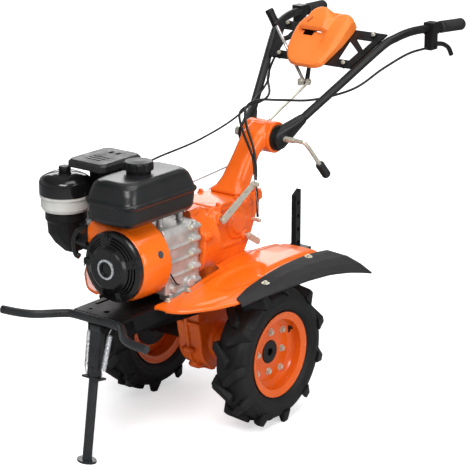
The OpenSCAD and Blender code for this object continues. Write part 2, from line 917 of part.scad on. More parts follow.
module gear_lever() {
    knob = [[978, 9], [982, 12], [1008, 13.5], [1020, 12], [1023, 8]];
    color(dark) {
        sweep(curve([shift_pivot + [0, -6, 0], [-482, -56, 868], [-497, -104, 918], [-488, -134, 978]],
            5), 5, 10,
              [1, 0, 0.3]);
        skin([for (k = knob)
            [for (i = [0 : 11])
                [-488 + (k[0] - 978) * 0.1 + k[1] * cos(30 * i),
                    -134 - (k[0] - 978) * 0.55 + k[1] * sin(30 * i), k[0]]]]);
        rod(shift_pivot + [0, -10, 0], shift_pivot + [0, 18, 0], 4);
    }
}

module gear_rod() {
    color(zinc)
        difference() {
            union() {
                rod(shift_pivot + [0, 6.2, 0], shift_pivot + [0, 15, 0], 9);
                rod(shift_pivot + [6, 10, -4], [-296, -2, 764], 4);
            }
            rod(shift_pivot, shift_pivot + [0, 30, 0], 4.2);
        }
}

module clamp_lever() {
    color(zinc)
    {
        sweep(curve([[pivot.x, 97, pivot.z], [pivot.x, 128, pivot.z], [pivot.x - 10, 142, pivot.z - 10],
                     [pivot.x - 62, 148, pivot.z - 72]], 5), 6, 12, [1, 0, 0.02]);
        rod([pivot.x, -90, pivot.z], [pivot.x, 106, pivot.z], 8);
        rod([pivot.x, -92, pivot.z], [pivot.x, -81.5, pivot.z], 13);
    }
}

module clamp_grip() {
    color(dark)
        rod([pivot.x - 62.2, 148, pivot.z - 72.3], [pivot.x - 94, 152, pivot.z - 111], 13);
}

// fenders

// stations along the fender: [x, height, inner edge, outer edge]
fender_rows = [[326, 396, 72, 146], [300, 399, 76, 178], [250, 407, 92, 230], [200, 417, 94, 266],
    [130, 430, 94, 268],
               [64, 439, 94, 268], [56, 440, 66.6, 268], [-10, 446, 66.6, 268], [-76, 448, 66.6, 268],
               [-90, 448, 80, 268], [-150, 446, 84, 268], [-190, 443, 88, 268]];

// section of the sheet: raised panel between a turned-up inner edge and a rolled outer edge
function fender_section(a, b, z) = let (w = b - a) [
    [a, z - 8], [a + 0.1 * w, z - 7], [a + 0.18 * w, z - 1], [a + 0.5 * w, z + 1], [a + 0.74 * w, z],
        [a + 0.8 * w, z - 4],
    [b - 4, z - 5], [b, z - 8]];

module fender_left() {
    n = len(fender_rows);
    color(orange)
        skin([for (i = [n - 1 : -1 : 0])
            let (f = fender_rows[i])
            sheet_ring(f[0], fender_section(f[2], f[3], f[1]), 2.5)]);
}

module fender_right() {
    mirrored()
        fender_left();
}

// stations along the rubber flap: [x, inner edge, outer edge, droop of the outer edge]
flap_rows = [[204, 256, 274, 12], [150, 246, 292, 12], [80, 242, 312, 13], [0, 240, 332, 14],
    [-80, 240, 350, 16],
             [-140, 240, 368, 20], [-186, 243, 388, 25], [-208, 250, 398, 30]];

module flap_left() {
    n = len(flap_rows);
    fender_height = [for (f = fender_rows) [f[0], f[1]]];
    color(rubber)
        skin([for (i = [n - 1 : -1 : 0])
            let (f = flap_rows[i], a = f[1], b = f[2], z = lookup(f[0], fender_height) - 3.35)
            sheet_ring(f[0], [[a, z + 4.8], [max(a + 4, 262), z + 3.4], [a + 0.45 * (b - a) + 10, z + 1],
                              [a + 0.75 * (b - a) + 4, z - 0.4 * f[3]], [b, z - f[3]]], 4)]);
}

module flap_right() {
    mirrored()
        flap_left();
}

// controls on the gearbox and the rear hitch

module control_arms() {
    color(zinc) {
        rod([45, 50, 560], [45, 97, 560], 6);
        side_plate(88, 93)
            polygon([[51, 549], [57, 560], [48, 571], [-84, 639], [-92, 632], [-88, 622], [38, 552]]);
        rod([-70, 50, 488], [-70, 92, 488], 6);
        side_plate(84, 88)
            polygon([[-62, 482], [-62, 494], [-72, 497], [-120, 466], [-118, 454], [-108, 454]]);
        rod([-112, 66.2, 522], [-112, 94, 522], 5);
    }
}

module hitch_bracket() {
    color(dark)
        difference() {
            union() {
                for (s = [-1, 1])
                    translate([-440, -32, 330 + s * (hitch_gap / 2 + 4) - 4])
                        cube([200, 64, 8]);
                translate([-300, -32, 330 - hitch_gap / 2])
                    cube([60, 64, hitch_gap]);
                translate([-240, -38, 300])
                    cube([143.7, 76, 70]);
            }
            translate([-360, 0, 270])
                cylinder(d = hitch_pin_d, h = 120);
            translate([-420.3, -8.3, 270])
                cube([24.6, 16.6, 120]);
        }
}

module depth_bar() {
    color(dark)
        difference() {
            side_plate(-8, 8)
                polygon([[-420, 230], [-396, 230], [-396, 512], [-420, 528]]);
            for (z = [250 : 40 : 500])
                rod([-408, -30, z], [-408, 30, z], bar_hole_d / 2);
        }
}

// cables

module cable_left() {
    color(dark)
        sweep(curve([grip_start + [36.6, 0, -53], [-650, 212, 912], [-560, 186, 880], [-470, 150, 834],
                     [-390, 70, 806], [-330, 0, 806], [-270, -34, 812], [-215, -34, 802], [-172, -2, 768],
                     [-134, 52, 716], [-102, 86, 672], [-86, 96.9, 642]], 3), 3.5, 8, [0.3, 1, 0.2]);
}

module cable_right() {
    color(dark)
        sweep(curve([[grip_start.x + 36.6, -grip_start.y, grip_start.z - 53], [-650, -212, 912],
            [-560, -186, 880],
                     [-470, -150, 834], [-385, -82, 806], [-310, -52, 800], [-245, -52, 798],
                         [-200, -46, 784],
                     [-160, -4, 748], [-122, 58, 696], [-104, 80, 650], [-108, 84, 600],
                         [-112, 84, 560], [-112, 84, 531]], 3),
              3.5, 8, [0.3, 1, 0.2]);
}

module throttle_cable() {
    color(dark)
        sweep(curve([[-564, -188, 931.2], [-487, -156, 876.2], [-400, -104.2, 825.8], [-230, -72, 772],
            [-57, -72, 736],
                     [112, -82, 718], [172, -85, 706], [236, -86, 688], [262, -87, 668],
                         [286, -104, 636], [312, -130, 596],
                     [314, -136, 578.4]], 3), 3, 8, [0.3, 1, 0.2]);
}

module stop_wire() {
    color(dark)
        sweep(curve([[-152, -38.7, 650], [-132, -42, 646], [-85, -58, 634], [-28, -64, 627], [40, -68, 622],
                     [112, -78, 622], [150, -72, 600], [166, -60, 582.8]], 3), 2.5, 8, [0.3, 1, 0.2]);
}

place() tyre_left();
place() tyre_right();
place() rim_left();
place() rim_right();
place() hub_left();
place() hub_right();
place() axle_case();
place() gearbox();
place() column();
place() front_frame();
place() front_guard();
place() stand_bracket();
place() stand_leg();
place() stand_springs();
place() crankcase();
place() cylinder_head();
place() fan_shroud();
place() recoil_cover();
place() recoil_handle();
place() fuel_tank();
place() tank_cap();
place() cleaner_cap();
place() cleaner_bowl();
place() cleaner_base();
place() carburettor();
place() muffler();
place() muffler_guard();
place() handle_left();
place() handle_right();
place() grip_left();
place() grip_right();
place() clutch_lever_left();
place() clutch_lever_right();
place() panel_bracket();
place() panel_cover();
place() gear_lever();
place() gear_rod();
place() clamp_lever();
place() clamp_grip();
place() fender_left();
place() fender_right();
place() flap_left();
place() flap_right();
place() control_arms();
place() hitch_bracket();
place() depth_bar();
place() cable_left();
place() cable_right();
place() throttle_cable();
place() stop_wire();
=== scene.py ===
# Looks of a two-wheel hand tractor: a petrol engine on a front bed, lugged tyres under orange fenders,
# a cast gearbox, and a steering column that carries the tilting handlebar.
import math

import bmesh
import bpy
from mathutils import Matrix, Vector


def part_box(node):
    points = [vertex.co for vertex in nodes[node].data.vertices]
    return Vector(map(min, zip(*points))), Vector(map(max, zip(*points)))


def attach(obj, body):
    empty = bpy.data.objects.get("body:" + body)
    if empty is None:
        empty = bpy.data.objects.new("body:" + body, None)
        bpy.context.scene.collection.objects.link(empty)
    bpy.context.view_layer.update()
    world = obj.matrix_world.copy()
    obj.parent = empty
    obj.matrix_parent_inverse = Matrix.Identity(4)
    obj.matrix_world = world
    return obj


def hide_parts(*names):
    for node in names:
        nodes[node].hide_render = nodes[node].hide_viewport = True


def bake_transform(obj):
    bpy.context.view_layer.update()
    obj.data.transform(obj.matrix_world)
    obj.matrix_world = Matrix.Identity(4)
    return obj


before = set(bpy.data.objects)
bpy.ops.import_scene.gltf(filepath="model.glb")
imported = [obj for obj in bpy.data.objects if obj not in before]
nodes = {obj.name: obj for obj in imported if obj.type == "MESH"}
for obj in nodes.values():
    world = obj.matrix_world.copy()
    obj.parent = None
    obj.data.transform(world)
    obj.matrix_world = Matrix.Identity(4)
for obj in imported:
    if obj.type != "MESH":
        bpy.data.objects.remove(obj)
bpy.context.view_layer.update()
scene = bpy.context.scene
scene.view_settings.view_transform = "Standard"


# The camera stands ahead of the machine on the operator's left, two metres up and five metres off,
# with a long lens. Places in this file are measured forward of the axle, to the left and up.
rim_low, rim_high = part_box("rim_left")
axle_x = (rim_low.x + rim_high.x) / 2
axle_z = (rim_low.z + rim_high.z) / 2
wheel_y = (rim_low.y + rim_high.y) / 2


def at(x, y, z):
    """Place x ahead of the axle, y to the operator's left and z above the ground."""
    return Vector((axle_x + x, y, z))


lens = bpy.data.cameras.new("camera")
lens.sensor_width = 36
lens.lens = 143.75
camera = bpy.data.objects.new("camera", lens)
camera.location = at(3.81186, 3.04952, 1.99204)
camera.rotation_euler = (math.radians(72.9113), 0, math.radians(127.798))
scene.collection.objects.link(camera)
scene.camera = camera


# The studio is one wide white floor under large soft lamps. The floor shows white to the camera and keeps
# the machine's soft shadow; mirrors see a sky that is bright low down and dimmer overhead.
floor_reach = 30
floor_glow = 0.55
floor_tone = (0.8, 0.8, 0.8, 1)
mirrored_tone = (0.35, 0.35, 0.35, 1)
shadow_reach = 1.3
white_reach = 3.2
sky_tint = (0.9, 0.93, 1, 1)
sky_fill = 0.36
sky_low_glow = 0.55
sky_high_glow = 0.14


def link_nodes(tree, *pairs):
    """Join node sockets in pairs of (output, input)."""
    for output, socket in pairs:
        tree.links.new(output, socket)


def seen_white(tree, path):
    """Socket that is 1 for rays that the picture sees straight or through a clear piece."""
    both = tree.nodes.new("ShaderNodeMath")
    both.operation = "MAXIMUM"
    link_nodes(tree, (path.outputs["Is Camera Ray"], both.inputs[0]),
               (path.outputs["Is Transmission Ray"], both.inputs[1]))
    return both.outputs[0]


def ranged(tree, socket, low, high, first, last):
    """Value that runs from first to last as a socket runs from low to high."""
    node = tree.nodes.new("ShaderNodeMapRange")
    node.inputs["From Min"].default_value = low
    node.inputs["From Max"].default_value = high
    node.inputs["To Min"].default_value = first
    node.inputs["To Max"].default_value = last
    tree.links.new(socket, node.inputs["Value"])
    return node.outputs[0]


floor_paint = bpy.data.materials.new("floor_paint")
floor_paint.use_nodes = True
tree = floor_paint.node_tree
tree.nodes.clear()
matt = tree.nodes.new("ShaderNodeBsdfDiffuse")
matt.inputs["Color"].default_value = floor_tone
dim = tree.nodes.new("ShaderNodeBsdfDiffuse")
dim.inputs["Color"].default_value = mirrored_tone
spot = tree.nodes.new("ShaderNodeTexCoord")
reach = tree.nodes.new("ShaderNodeVectorMath")
reach.operation = "LENGTH"
tree.links.new(spot.outputs["Object"], reach.inputs[0])
glow = tree.nodes.new("ShaderNodeEmission")
lit = tree.nodes.new("ShaderNodeAddShader")
path = tree.nodes.new("ShaderNodeLightPath")
mirrored_floor = tree.nodes.new("ShaderNodeMixShader")
choice = tree.nodes.new("ShaderNodeMixShader")
out = tree.nodes.new("ShaderNodeOutputMaterial")
link_nodes(tree, (path.outputs["Is Glossy Ray"], mirrored_floor.inputs[0]),
           (matt.outputs[0], mirrored_floor.inputs[1]), (dim.outputs[0], mirrored_floor.inputs[2]))
link_nodes(tree, (ranged(tree, reach.outputs["Value"], shadow_reach, white_reach, floor_glow, 1.0),
                  glow.inputs["Strength"]),
           (matt.outputs[0], lit.inputs[0]), (glow.outputs[0], lit.inputs[1]),
           (seen_white(tree, path), choice.inputs[0]), (mirrored_floor.outputs[0], choice.inputs[1]),
           (lit.outputs[0], choice.inputs[2]), (choice.outputs[0], out.inputs["Surface"]))

floor_mesh = bpy.data.meshes.new("floor")
floor_mesh.from_pydata([(-floor_reach, -floor_reach, 0), (floor_reach, -floor_reach, 0),
                        (floor_reach, floor_reach, 0), (-floor_reach, floor_reach, 0)], [], [(0, 1, 2, 3)])
floor_mesh.materials.append(floor_paint)
floor = bpy.data.objects.new("floor", floor_mesh)
scene.collection.objects.link(floor)

world = bpy.data.worlds.new("studio")
scene.world = world
world.use_nodes = True
tree = world.node_tree
tree.nodes.clear()
fill = tree.nodes.new("ShaderNodeBackground")
fill.inputs["Color"].default_value = sky_tint
fill.inputs["Strength"].default_value = sky_fill
mirror = tree.nodes.new("ShaderNodeBackground")
white = tree.nodes.new("ShaderNodeBackground")
white.inputs["Color"].default_value = (1, 1, 1, 1)
white.inputs["Strength"].default_value = 1
sky = tree.nodes.new("ShaderNodeTexCoord")
parts = tree.nodes.new("ShaderNodeSeparateXYZ")
path = tree.nodes.new("ShaderNodeLightPath")
shine = tree.nodes.new("ShaderNodeMixShader")
choice = tree.nodes.new("ShaderNodeMixShader")
out = tree.nodes.new("ShaderNodeOutputWorld")
link_nodes(tree, (sky.outputs["Generated"], parts.inputs[0]),
           (ranged(tree, parts.outputs["Z"], 0.02, 0.5, sky_low_glow, sky_high_glow),
            mirror.inputs["Strength"]),
           (path.outputs["Is Glossy Ray"], shine.inputs[0]), (fill.outputs[0], shine.inputs[1]),
           (mirror.outputs[0], shine.inputs[2]),
           (seen_white(tree, path), choice.inputs[0]), (shine.outputs[0], choice.inputs[1]),
           (white.outputs[0], choice.inputs[2]), (choice.outputs[0], out.inputs["Surface"]))


def soft_lamp(name, place, target, size, power):
    """Square area lamp at place, facing target."""
    light = bpy.data.lights.new(name, "AREA")
    light.size = size
    light.energy = power
    lamp = bpy.data.objects.new(name, light)
    lamp.location = place
    lamp.rotation_euler = (Vector(target) - Vector(place)).to_track_quat("-Z", "Y").to_euler()
    scene.collection.objects.link(lamp)


soft_lamp("key_lamp", (2.6, 1.2, 3.0), (0.1, 0, 0.45), 1.6, 92)
soft_lamp("top_lamp", (-0.4, 0.6, 3.2), (0, 0, 0.5), 2.2, 42)
soft_lamp("side_lamp", (0.2, 3.4, 1.5), (0, 0, 0.4), 1.8, 44)
soft_lamp("back_lamp", (-2.2, -2.4, 2.2), (0, 0, 0.5), 2.0, 36)


# Tyres: field tyres of black rubber, seated on the rim's beads. Eleven deep bars on each half are
# moulded in one piece with the carcass, and the two halves meet in a V that bites forward.
tyre_radius = 0.200
tyre_half = 0.052
bar_height = 0.017
bars_each_half = 11
bar_lead = math.radians(12)
first_bar = math.radians(264)
flange_radius = 0.118
seat_radius = 0.1024


def finish(name, low, high, rough, grain, depth, patch=14, spread=0.06, metal=0.0, coat=0.0, shine=0.5):
    """Finish whose colour drifts between low and high in patches, with a fine grain pressed into it."""
    material = bpy.data.materials.new(name)
    material.use_nodes = True
    tree = material.node_tree
    shader = tree.nodes["Principled BSDF"]
    shader.inputs["Metallic"].default_value = metal
    shader.inputs["Coat Weight"].default_value = coat
    shader.inputs["Coat Roughness"].default_value = 0.06
    shader.inputs["Specular IOR Level"].default_value = shine
    place = tree.nodes.new("ShaderNodeTexCoord")
    drift = tree.nodes.new("ShaderNodeTexNoise")
    drift.inputs["Scale"].default_value = patch
    drift.inputs["Detail"].default_value = 4
    tint = tree.nodes.new("ShaderNodeValToRGB")
    tint.color_ramp.elements[0].position = 0.35
    tint.color_ramp.elements[0].color = (*low, 1)
    tint.color_ramp.elements[1].position = 0.65
    tint.color_ramp.elements[1].color = (*high, 1)
    dull = ranged(tree, drift.outputs["Fac"], 0.3, 0.7, max(rough - spread, 0.02), rough + spread)
    fine = tree.nodes.new("ShaderNodeTexNoise")
    fine.inputs["Scale"].default_value = grain
    fine.inputs["Detail"].default_value = 3
    relief = tree.nodes.new("ShaderNodeBump")
    relief.inputs["Distance"].default_value = depth
    relief.inputs["Strength"].default_value = 1
    link_nodes(tree, (place.outputs["Object"], drift.inputs["Vector"]),
               (place.outputs["Object"], fine.inputs["Vector"]),
               (drift.outputs["Fac"], tint.inputs["Fac"]),
               (tint.outputs["Color"], shader.inputs["Base Color"]),
               (dull, shader.inputs["Roughness"]), (fine.outputs["Fac"], relief.inputs["Height"]),
               (relief.outputs[0], shader.inputs["Normal"]))
    return material


def piece(name, mesh, material, smooth):
    """Object at the origin made of mesh, with its soft edges under smooth degrees shaded round."""
    mesh.materials.clear()
    mesh.materials.append(material)
    mesh.shade_smooth()
    mesh.set_sharp_from_angle(angle=math.radians(smooth))
    made = bpy.data.objects.new(name, mesh)
    scene.collection.objects.link(made)
    return made


def rounded(points, radius, steps):
    """Closed outline with each corner drawn as a short curve."""
    corners = [Vector(p) for p in points]
    result = []
    for i, corner in enumerate(corners):
        back = corners[i - 1] - corner
        ahead = corners[(i + 1) % len(corners)] - corner
        reach = min(radius, 0.45 * back.length, 0.45 * ahead.length)
        a = corner + back.normalized() * reach
        b = corner + ahead.normalized() * reach
        for k in range(steps + 1):
            t = k / steps
            result.append(a * (1 - t) ** 2 + corner * 2 * t * (1 - t) + b * t ** 2)
    return result


def settled(name, shape):
    """Mesh of a finished bmesh, which is freed."""
    mesh = bpy.data.meshes.new(name)
    shape.to_mesh(mesh)
    shape.free()
    return mesh


def turned(profile, centre, steps, axis):
    """Mesh turned from a closed outline of (radius, place along the axis) round an axis through centre."""
    shape = bmesh.new()
    along_index = "XYZ".index(axis)
    rings = []
    for k in range(steps):
        turn = 2 * math.pi * k / steps
        ring = []
        for radius, along in profile:
            spot = [radius * math.cos(turn), radius * math.sin(turn)]
            spot.insert(along_index, along)
            ring.append(shape.verts.new(Vector(centre) + Vector(spot)))
        rings.append(ring)
    count = len(profile)
    for k in range(steps):
        near, far = rings[k], rings[(k + 1) % steps]
        for i in range(count):
            j = (i + 1) % count
            if profile[i][0] > 1e-6 or profile[j][0] > 1e-6:
                shape.faces.new((near[i], near[j], far[j], far[i]))
    bmesh.ops.remove_doubles(shape, verts=shape.verts, dist=1e-6)
    bmesh.ops.dissolve_degenerate(shape, edges=shape.edges, dist=1e-7)
    bmesh.ops.recalc_face_normals(shape, faces=shape.faces)
    return settled("turned", shape)


def mirrored(mesh):
    """Copy of mesh for the other side of the machine."""
    other = mesh.copy()
    other.transform(Matrix.Scale(-1, 4, (0, 1, 0)))
    other.flip_normals()
    return other


def bar_block(turn, radius, inner, outer, width):
    """Corners of a thin slice of a bar, at a turn about the axle."""
    reach = math.sqrt(radius ** 2 - width ** 2 / 4)
    swing = Matrix.Rotation(-turn, 3, "Y")
    return [swing @ Vector((x, y, z)) for x in (reach - 0.001, reach) for y in (inner, outer)
            for z in (-width / 2, width / 2)]


def bar_mesh(side):
    """One bar of the half at side, with its edges eased as moulded rubber."""
    low = tyre_radius - bar_height
    corners = (bar_block(-bar_lead, tyre_radius, -0.006, 0.004, 0.015)
               + bar_block(-bar_lead, low - 0.004, -0.009, 0.004, 0.024)
               + bar_block(0, tyre_radius, tyre_half - 0.018, tyre_half - 0.008, 0.018)
               + bar_block(0, low - 0.014, tyre_half - 0.012, tyre_half, 0.028))
    shape = bmesh.new()
    for c in corners:
        shape.verts.new((c.x, c.y * side, c.z))
    bmesh.ops.convex_hull(shape, input=shape.verts)
    bmesh.ops.dissolve_limit(shape, angle_limit=math.radians(4), verts=shape.verts, edges=shape.edges)
    bmesh.ops.bevel(shape, geom=list(shape.edges), offset=0.0024, segments=2, profile=0.6, affect="EDGES")
    bmesh.ops.recalc_face_normals(shape, faces=shape.faces)
    return settled("bar", shape)


def new_tree(name, kinds):
    """Geometry node tree with an input of each named kind; returns it and the inputs' identifiers."""
    tree = bpy.data.node_groups.new(name, "GeometryNodeTree")
    for way in ("INPUT", "OUTPUT"):
        tree.interface.new_socket("Geometry", in_out=way, socket_type="NodeSocketGeometry")
    identifiers = {}
    for label, kind in kinds.items():
        socket = tree.interface.new_socket(label, in_out="INPUT", socket_type="NodeSocket" + kind)
        identifiers[label] = socket.identifier
    return tree, identifiers


# tree that sets a thing at even turns round the y axis
ring_tree, ring_inputs = new_tree("things_round_axle", {"Thing": "Object", "Number": "Int",
                                                        "First turn": "Float", "Finish": "Material"})
given = ring_tree.nodes.new("NodeGroupInput")
row = ring_tree.nodes.new("GeometryNodeMeshLine")
row.inputs["Offset"].default_value = (0, 0, 0)
index = ring_tree.nodes.new("GeometryNodeInputIndex")
share = ring_tree.nodes.new("ShaderNodeMath")
share.operation = "DIVIDE"
full = ring_tree.nodes.new("ShaderNodeMath")
full.operation = "MULTIPLY_ADD"
full.inputs[1].default_value = 2 * math.pi
back = ring_tree.nodes.new("ShaderNodeMath")
back.operation = "MULTIPLY"
back.inputs[1].default_value = -1
euler = ring_tree.nodes.new("ShaderNodeCombineXYZ")
info = ring_tree.nodes.new("GeometryNodeObjectInfo")
sown = ring_tree.nodes.new("GeometryNodeInstanceOnPoints")
real = ring_tree.nodes.new("GeometryNodeRealizeInstances")
joined = ring_tree.nodes.new("GeometryNodeJoinGeometry")
dressed = ring_tree.nodes.new("GeometryNodeSetMaterial")
result = ring_tree.nodes.new("NodeGroupOutput")
link_nodes(ring_tree, (given.outputs["Number"], row.inputs["Count"]),
           (index.outputs[0], share.inputs[0]), (given.outputs["Number"], share.inputs[1]),
           (share.outputs[0], full.inputs[0]), (given.outputs["First turn"], full.inputs[2]),
           (full.outputs[0], back.inputs[0]), (back.outputs[0], euler.inputs["Y"]),
           (given.outputs["Thing"], info.inputs["Object"]), (row.outputs["Mesh"], sown.inputs["Points"]),
           (info.outputs["Geometry"], sown.inputs["Instance"]), (euler.outputs[0], sown.inputs["Rotation"]),
           (given.outputs["Geometry"], joined.inputs[0]), (sown.outputs[0], joined.inputs[0]),
           (joined.outputs[0], real.inputs[0]), (real.outputs[0], dressed.inputs["Geometry"]),
           (given.outputs["Finish"], dressed.inputs["Material"]),
           (dressed.outputs[0], result.inputs["Geometry"]))


def held(data):
    """Object that holds a mesh or a curve in the scene for a short while."""
    holder = bpy.data.objects.new("holder", data)
    scene.collection.objects.link(holder)
    return holder


def read_off(holder):
    """Plain mesh of an object as its modifiers or its bevel leave it; the object is removed."""
    reading = bpy.context.evaluated_depsgraph_get()
    mesh = bpy.data.meshes.new_from_object(holder.evaluated_get(reading))
    bpy.data.objects.remove(holder)
    return mesh


def grown(base, tree, values):
    """Plain mesh that a node tree makes of the mesh base, with its named inputs set to values."""
    holder = held(base)
    modifier = holder.modifiers.new("tree", "NODES")
    modifier.node_group = tree
    for identifier, value in values.items():
        modifier[identifier] = value
    return read_off(holder)


tyre_rubber = finish("tyre_rubber", (0.0065, 0.0067, 0.0070), (0.0125, 0.0128, 0.0133), 0.55, 900, 0.0003,
                     patch=22, spread=0.1, shine=0.28)
tread_radius = tyre_radius - bar_height
side_wall = [(seat_radius, 0.031), (seat_radius + 0.004, 0.0342), (flange_radius + 0.0005, 0.0342),
             (flange_radius + 0.006, tyre_half - 0.013), (flange_radius + 0.009, tyre_half - 0.010),
             (flange_radius + 0.014, tyre_half - 0.0066), (flange_radius + 0.018, tyre_half - 0.0048),
             (flange_radius + 0.020, tyre_half - 0.0058), (flange_radius + 0.032, tyre_half - 0.002),
             (tread_radius - 0.012, tyre_half - 0.006), (tread_radius, tyre_half - 0.024)]
inside = [(tread_radius - 0.010, 0.012), (tread_radius - 0.014, tyre_half - 0.018),
          (flange_radius + 0.016, tyre_half - 0.014), (seat_radius, 0.018)]
carcass = (side_wall + [(r, -y) for r, y in reversed(side_wall)]
           + [(r, -y) for r, y in reversed(inside)] + inside)
tyre = turned(rounded(carcass, 0.004, 2), (0, 0, 0), 132, "Y")
for side, start in ((1, 0.0), (-1, math.pi / bars_each_half)):
    bar = bpy.data.objects.new("bar", bar_mesh(side))
    tyre = grown(tyre, ring_tree, {ring_inputs["Thing"]: bar, ring_inputs["Number"]: bars_each_half,
                                   ring_inputs["First turn"]: first_bar + start,
                                   ring_inputs["Finish"]: tyre_rubber})
tyre.transform(Matrix.Translation((axle_x, wheel_y, axle_z)))
for side, mesh in (("left", tyre), ("right", mirrored(tyre))):
    made = piece("tyre_rubber_" + side, mesh, tyre_rubber, 40)
    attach(made, "wheel_" + side)
    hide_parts("tyre_" + side)


# Rims: pressed steel dishes, welded to the flanged band and enamelled orange; their orange is a darker copy
# of the fenders' enamel, painted shade on the dishes. Two rings of four plated bolts hold each dish to its
# hub, and a rubber valve stands in the slot.
orange_enamel = finish("orange_enamel", (0.80, 0.126, 0.005), (0.87, 0.150, 0.008), 0.22, 420, 0.00008,
                       patch=9, spread=0.05, coat=0.3, shine=0.4)
zinc_plate = finish("zinc_plate", (0.60, 0.575, 0.46), (0.74, 0.715, 0.61), 0.34, 1500, 0.00003, patch=90,
                    spread=0.08, metal=0.6)


def dress(material, *names):
    """Give CAD nodes a finish."""
    for name in names:
        nodes[name].data.materials.clear()
        nodes[name].data.materials.append(material)


def bolt_mesh(flats, head, washer):
    """Hexagon head, flats across and head high, on a washer of that radius; stands up +z from the origin."""
    shape = bmesh.new()
    plate = 0.0016
    bmesh.ops.create_cone(shape, cap_ends=True, segments=28, radius1=washer, radius2=washer - 0.0004,
                          depth=plate, matrix=Matrix.Translation((0, 0, plate / 2)))
    made = bmesh.ops.create_cone(shape, cap_ends=True, segments=6, radius1=flats / math.sqrt(3),
                                 radius2=flats / math.sqrt(3), depth=head,
                                 matrix=Matrix.Translation((0, 0, plate + head / 2)))
    edges = {e for v in made["verts"] for e in v.link_edges}
    bmesh.ops.bevel(shape, geom=list(edges), offset=0.0009, segments=2, profile=0.6, affect="EDGES")
    return settled("bolt", shape)


# tree that sets a fastener on every point, turned to stand along the point's own direction
bolt_tree, bolt_inputs = new_tree("fasteners_on_points", {"Fastener": "Object", "Finish": "Material"})
given = bolt_tree.nodes.new("NodeGroupInput")
way = bolt_tree.nodes.new("GeometryNodeInputNamedAttribute")
way.data_type = "FLOAT_VECTOR"
way.inputs["Name"].default_value = "out"
aligned = bolt_tree.nodes.new("FunctionNodeAlignRotationToVector")
aligned.axis = "Z"
info = bolt_tree.nodes.new("GeometryNodeObjectInfo")
sown = bolt_tree.nodes.new("GeometryNodeInstanceOnPoints")
real = bolt_tree.nodes.new("GeometryNodeRealizeInstances")
dressed = bolt_tree.nodes.new("GeometryNodeSetMaterial")
result = bolt_tree.nodes.new("NodeGroupOutput")
link_nodes(bolt_tree, (given.outputs["Geometry"], sown.inputs["Points"]),
           (way.outputs["Attribute"], aligned.inputs["Vector"]),
           (aligned.outputs[0], sown.inputs["Rotation"]), (given.outputs["Fastener"], info.inputs["Object"]),
           (info.outputs["Geometry"], sown.inputs["Instance"]), (sown.outputs[0], real.inputs[0]),
           (real.outputs[0], dressed.inputs["Geometry"]),
           (given.outputs["Finish"], dressed.inputs["Material"]),
           (dressed.outputs[0], result.inputs["Geometry"]))


def fasten(name, body, places, flats, head, washer, material):
    """Bolt heads at places, each a pair of (place, outward direction), riding on body."""
    points = bpy.data.meshes.new("points")
    points.from_pydata([tuple(p) for p, _ in places], [], [])
    out_ways = points.attributes.new("out", "FLOAT_VECTOR", "POINT")
    for i, (_, way) in enumerate(places):
        out_ways.data[i].vector = way
    bolt = bpy.data.objects.new("bolt", bolt_mesh(flats, head, washer))
    mesh = grown(points, bolt_tree, {bolt_inputs["Fastener"]: bolt, bolt_inputs["Finish"]: material})
    made = piece(name, mesh, material, 30)
    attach(made, body)


# painted shade: the rims' enamel is the fenders' orange made darker, for the shade that falls on the dishes
rim_enamel_painted_shade = finish("rim_enamel_painted_shade", (0.68, 0.094, 0.004), (0.75, 0.112, 0.006), 0.24, 420, 0.00008, patch=9,
                    spread=0.05, coat=0.25, shine=0.4)
dress(rim_enamel_painted_shade, "rim_left", "rim_right")
dish_face = 0.002
ring_plan = ((0.055, 5, 0.013), (0.075, 50, 0.012))
bolts_in_ring = 4
for side, sign in (("left", 1), ("right", -1)):
    for radius, first, flats in ring_plan:
        places = []
        for k in range(bolts_in_ring):
            turn = math.radians(first + 90 * k)
            place = at(radius * math.cos(turn), sign * (wheel_y + dish_face),
                       axle_z + radius * math.sin(turn))
            places.append((place, (0, sign, 0)))
        fasten(f"rim_bolts_{side}_{round(radius * 1000)}", "wheel_" + side, places, flats, 0.0065, 0.0105,
               zinc_plate)

valve_radius = 0.096
valve_turn = math.radians(152)


def stood(mesh, start, way):
    """Set a mesh drawn up +z from the origin at start, to stand along way."""
    mesh.transform(Matrix.Translation(start) @ Vector(way).to_track_quat("Z", "Y").to_matrix().to_4x4())
    return mesh


stem_outline = [(0, -0.012), (0.0045, -0.012), (0.0045, 0.002), (0.0075, 0.004), (0.0075, 0.009),
                (0.0045, 0.011), (0, 0.011)]
stem = turned(rounded(stem_outline, 0.0006, 2), (0, 0, 0), 24, "Z")
valve_seat = at(valve_radius * math.cos(valve_turn), wheel_y + 0.006,
                axle_z + valve_radius * math.sin(valve_turn))
valve_way = (0, 0.3, 0.95)
stem = stood(stem, valve_seat, valve_way)
for side, mesh in (("left", stem), ("right", mirrored(stem))):
    made = piece("valve_stem_" + side, mesh, tyre_rubber, 40)
    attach(made, "wheel_" + side)


# Hubs: black cast bosses keyed to the axle, flush with the dish and held by the rim's bolts, with an
# open bore for the axle's end.
black_enamel = finish("black_enamel", (0.0065, 0.0065, 0.0068), (0.011, 0.011, 0.0115), 0.36, 500, 0.00012,
                      patch=16, spread=0.07, coat=0.04, shine=0.28)
dress(black_enamel, "hub_left", "hub_right")


# Drive castings: axle case, gearbox and column are sand castings bolted together and enamelled orange.
# Their edges are drawn round by the mould, and hex bolts sit on the flanges and the bell.
cast_orange = finish("cast_orange", (0.76, 0.112, 0.006), (0.85, 0.142, 0.009), 0.25, 260, 0.0003,
                     patch=11, spread=0.08, coat=0.3, shine=0.4)


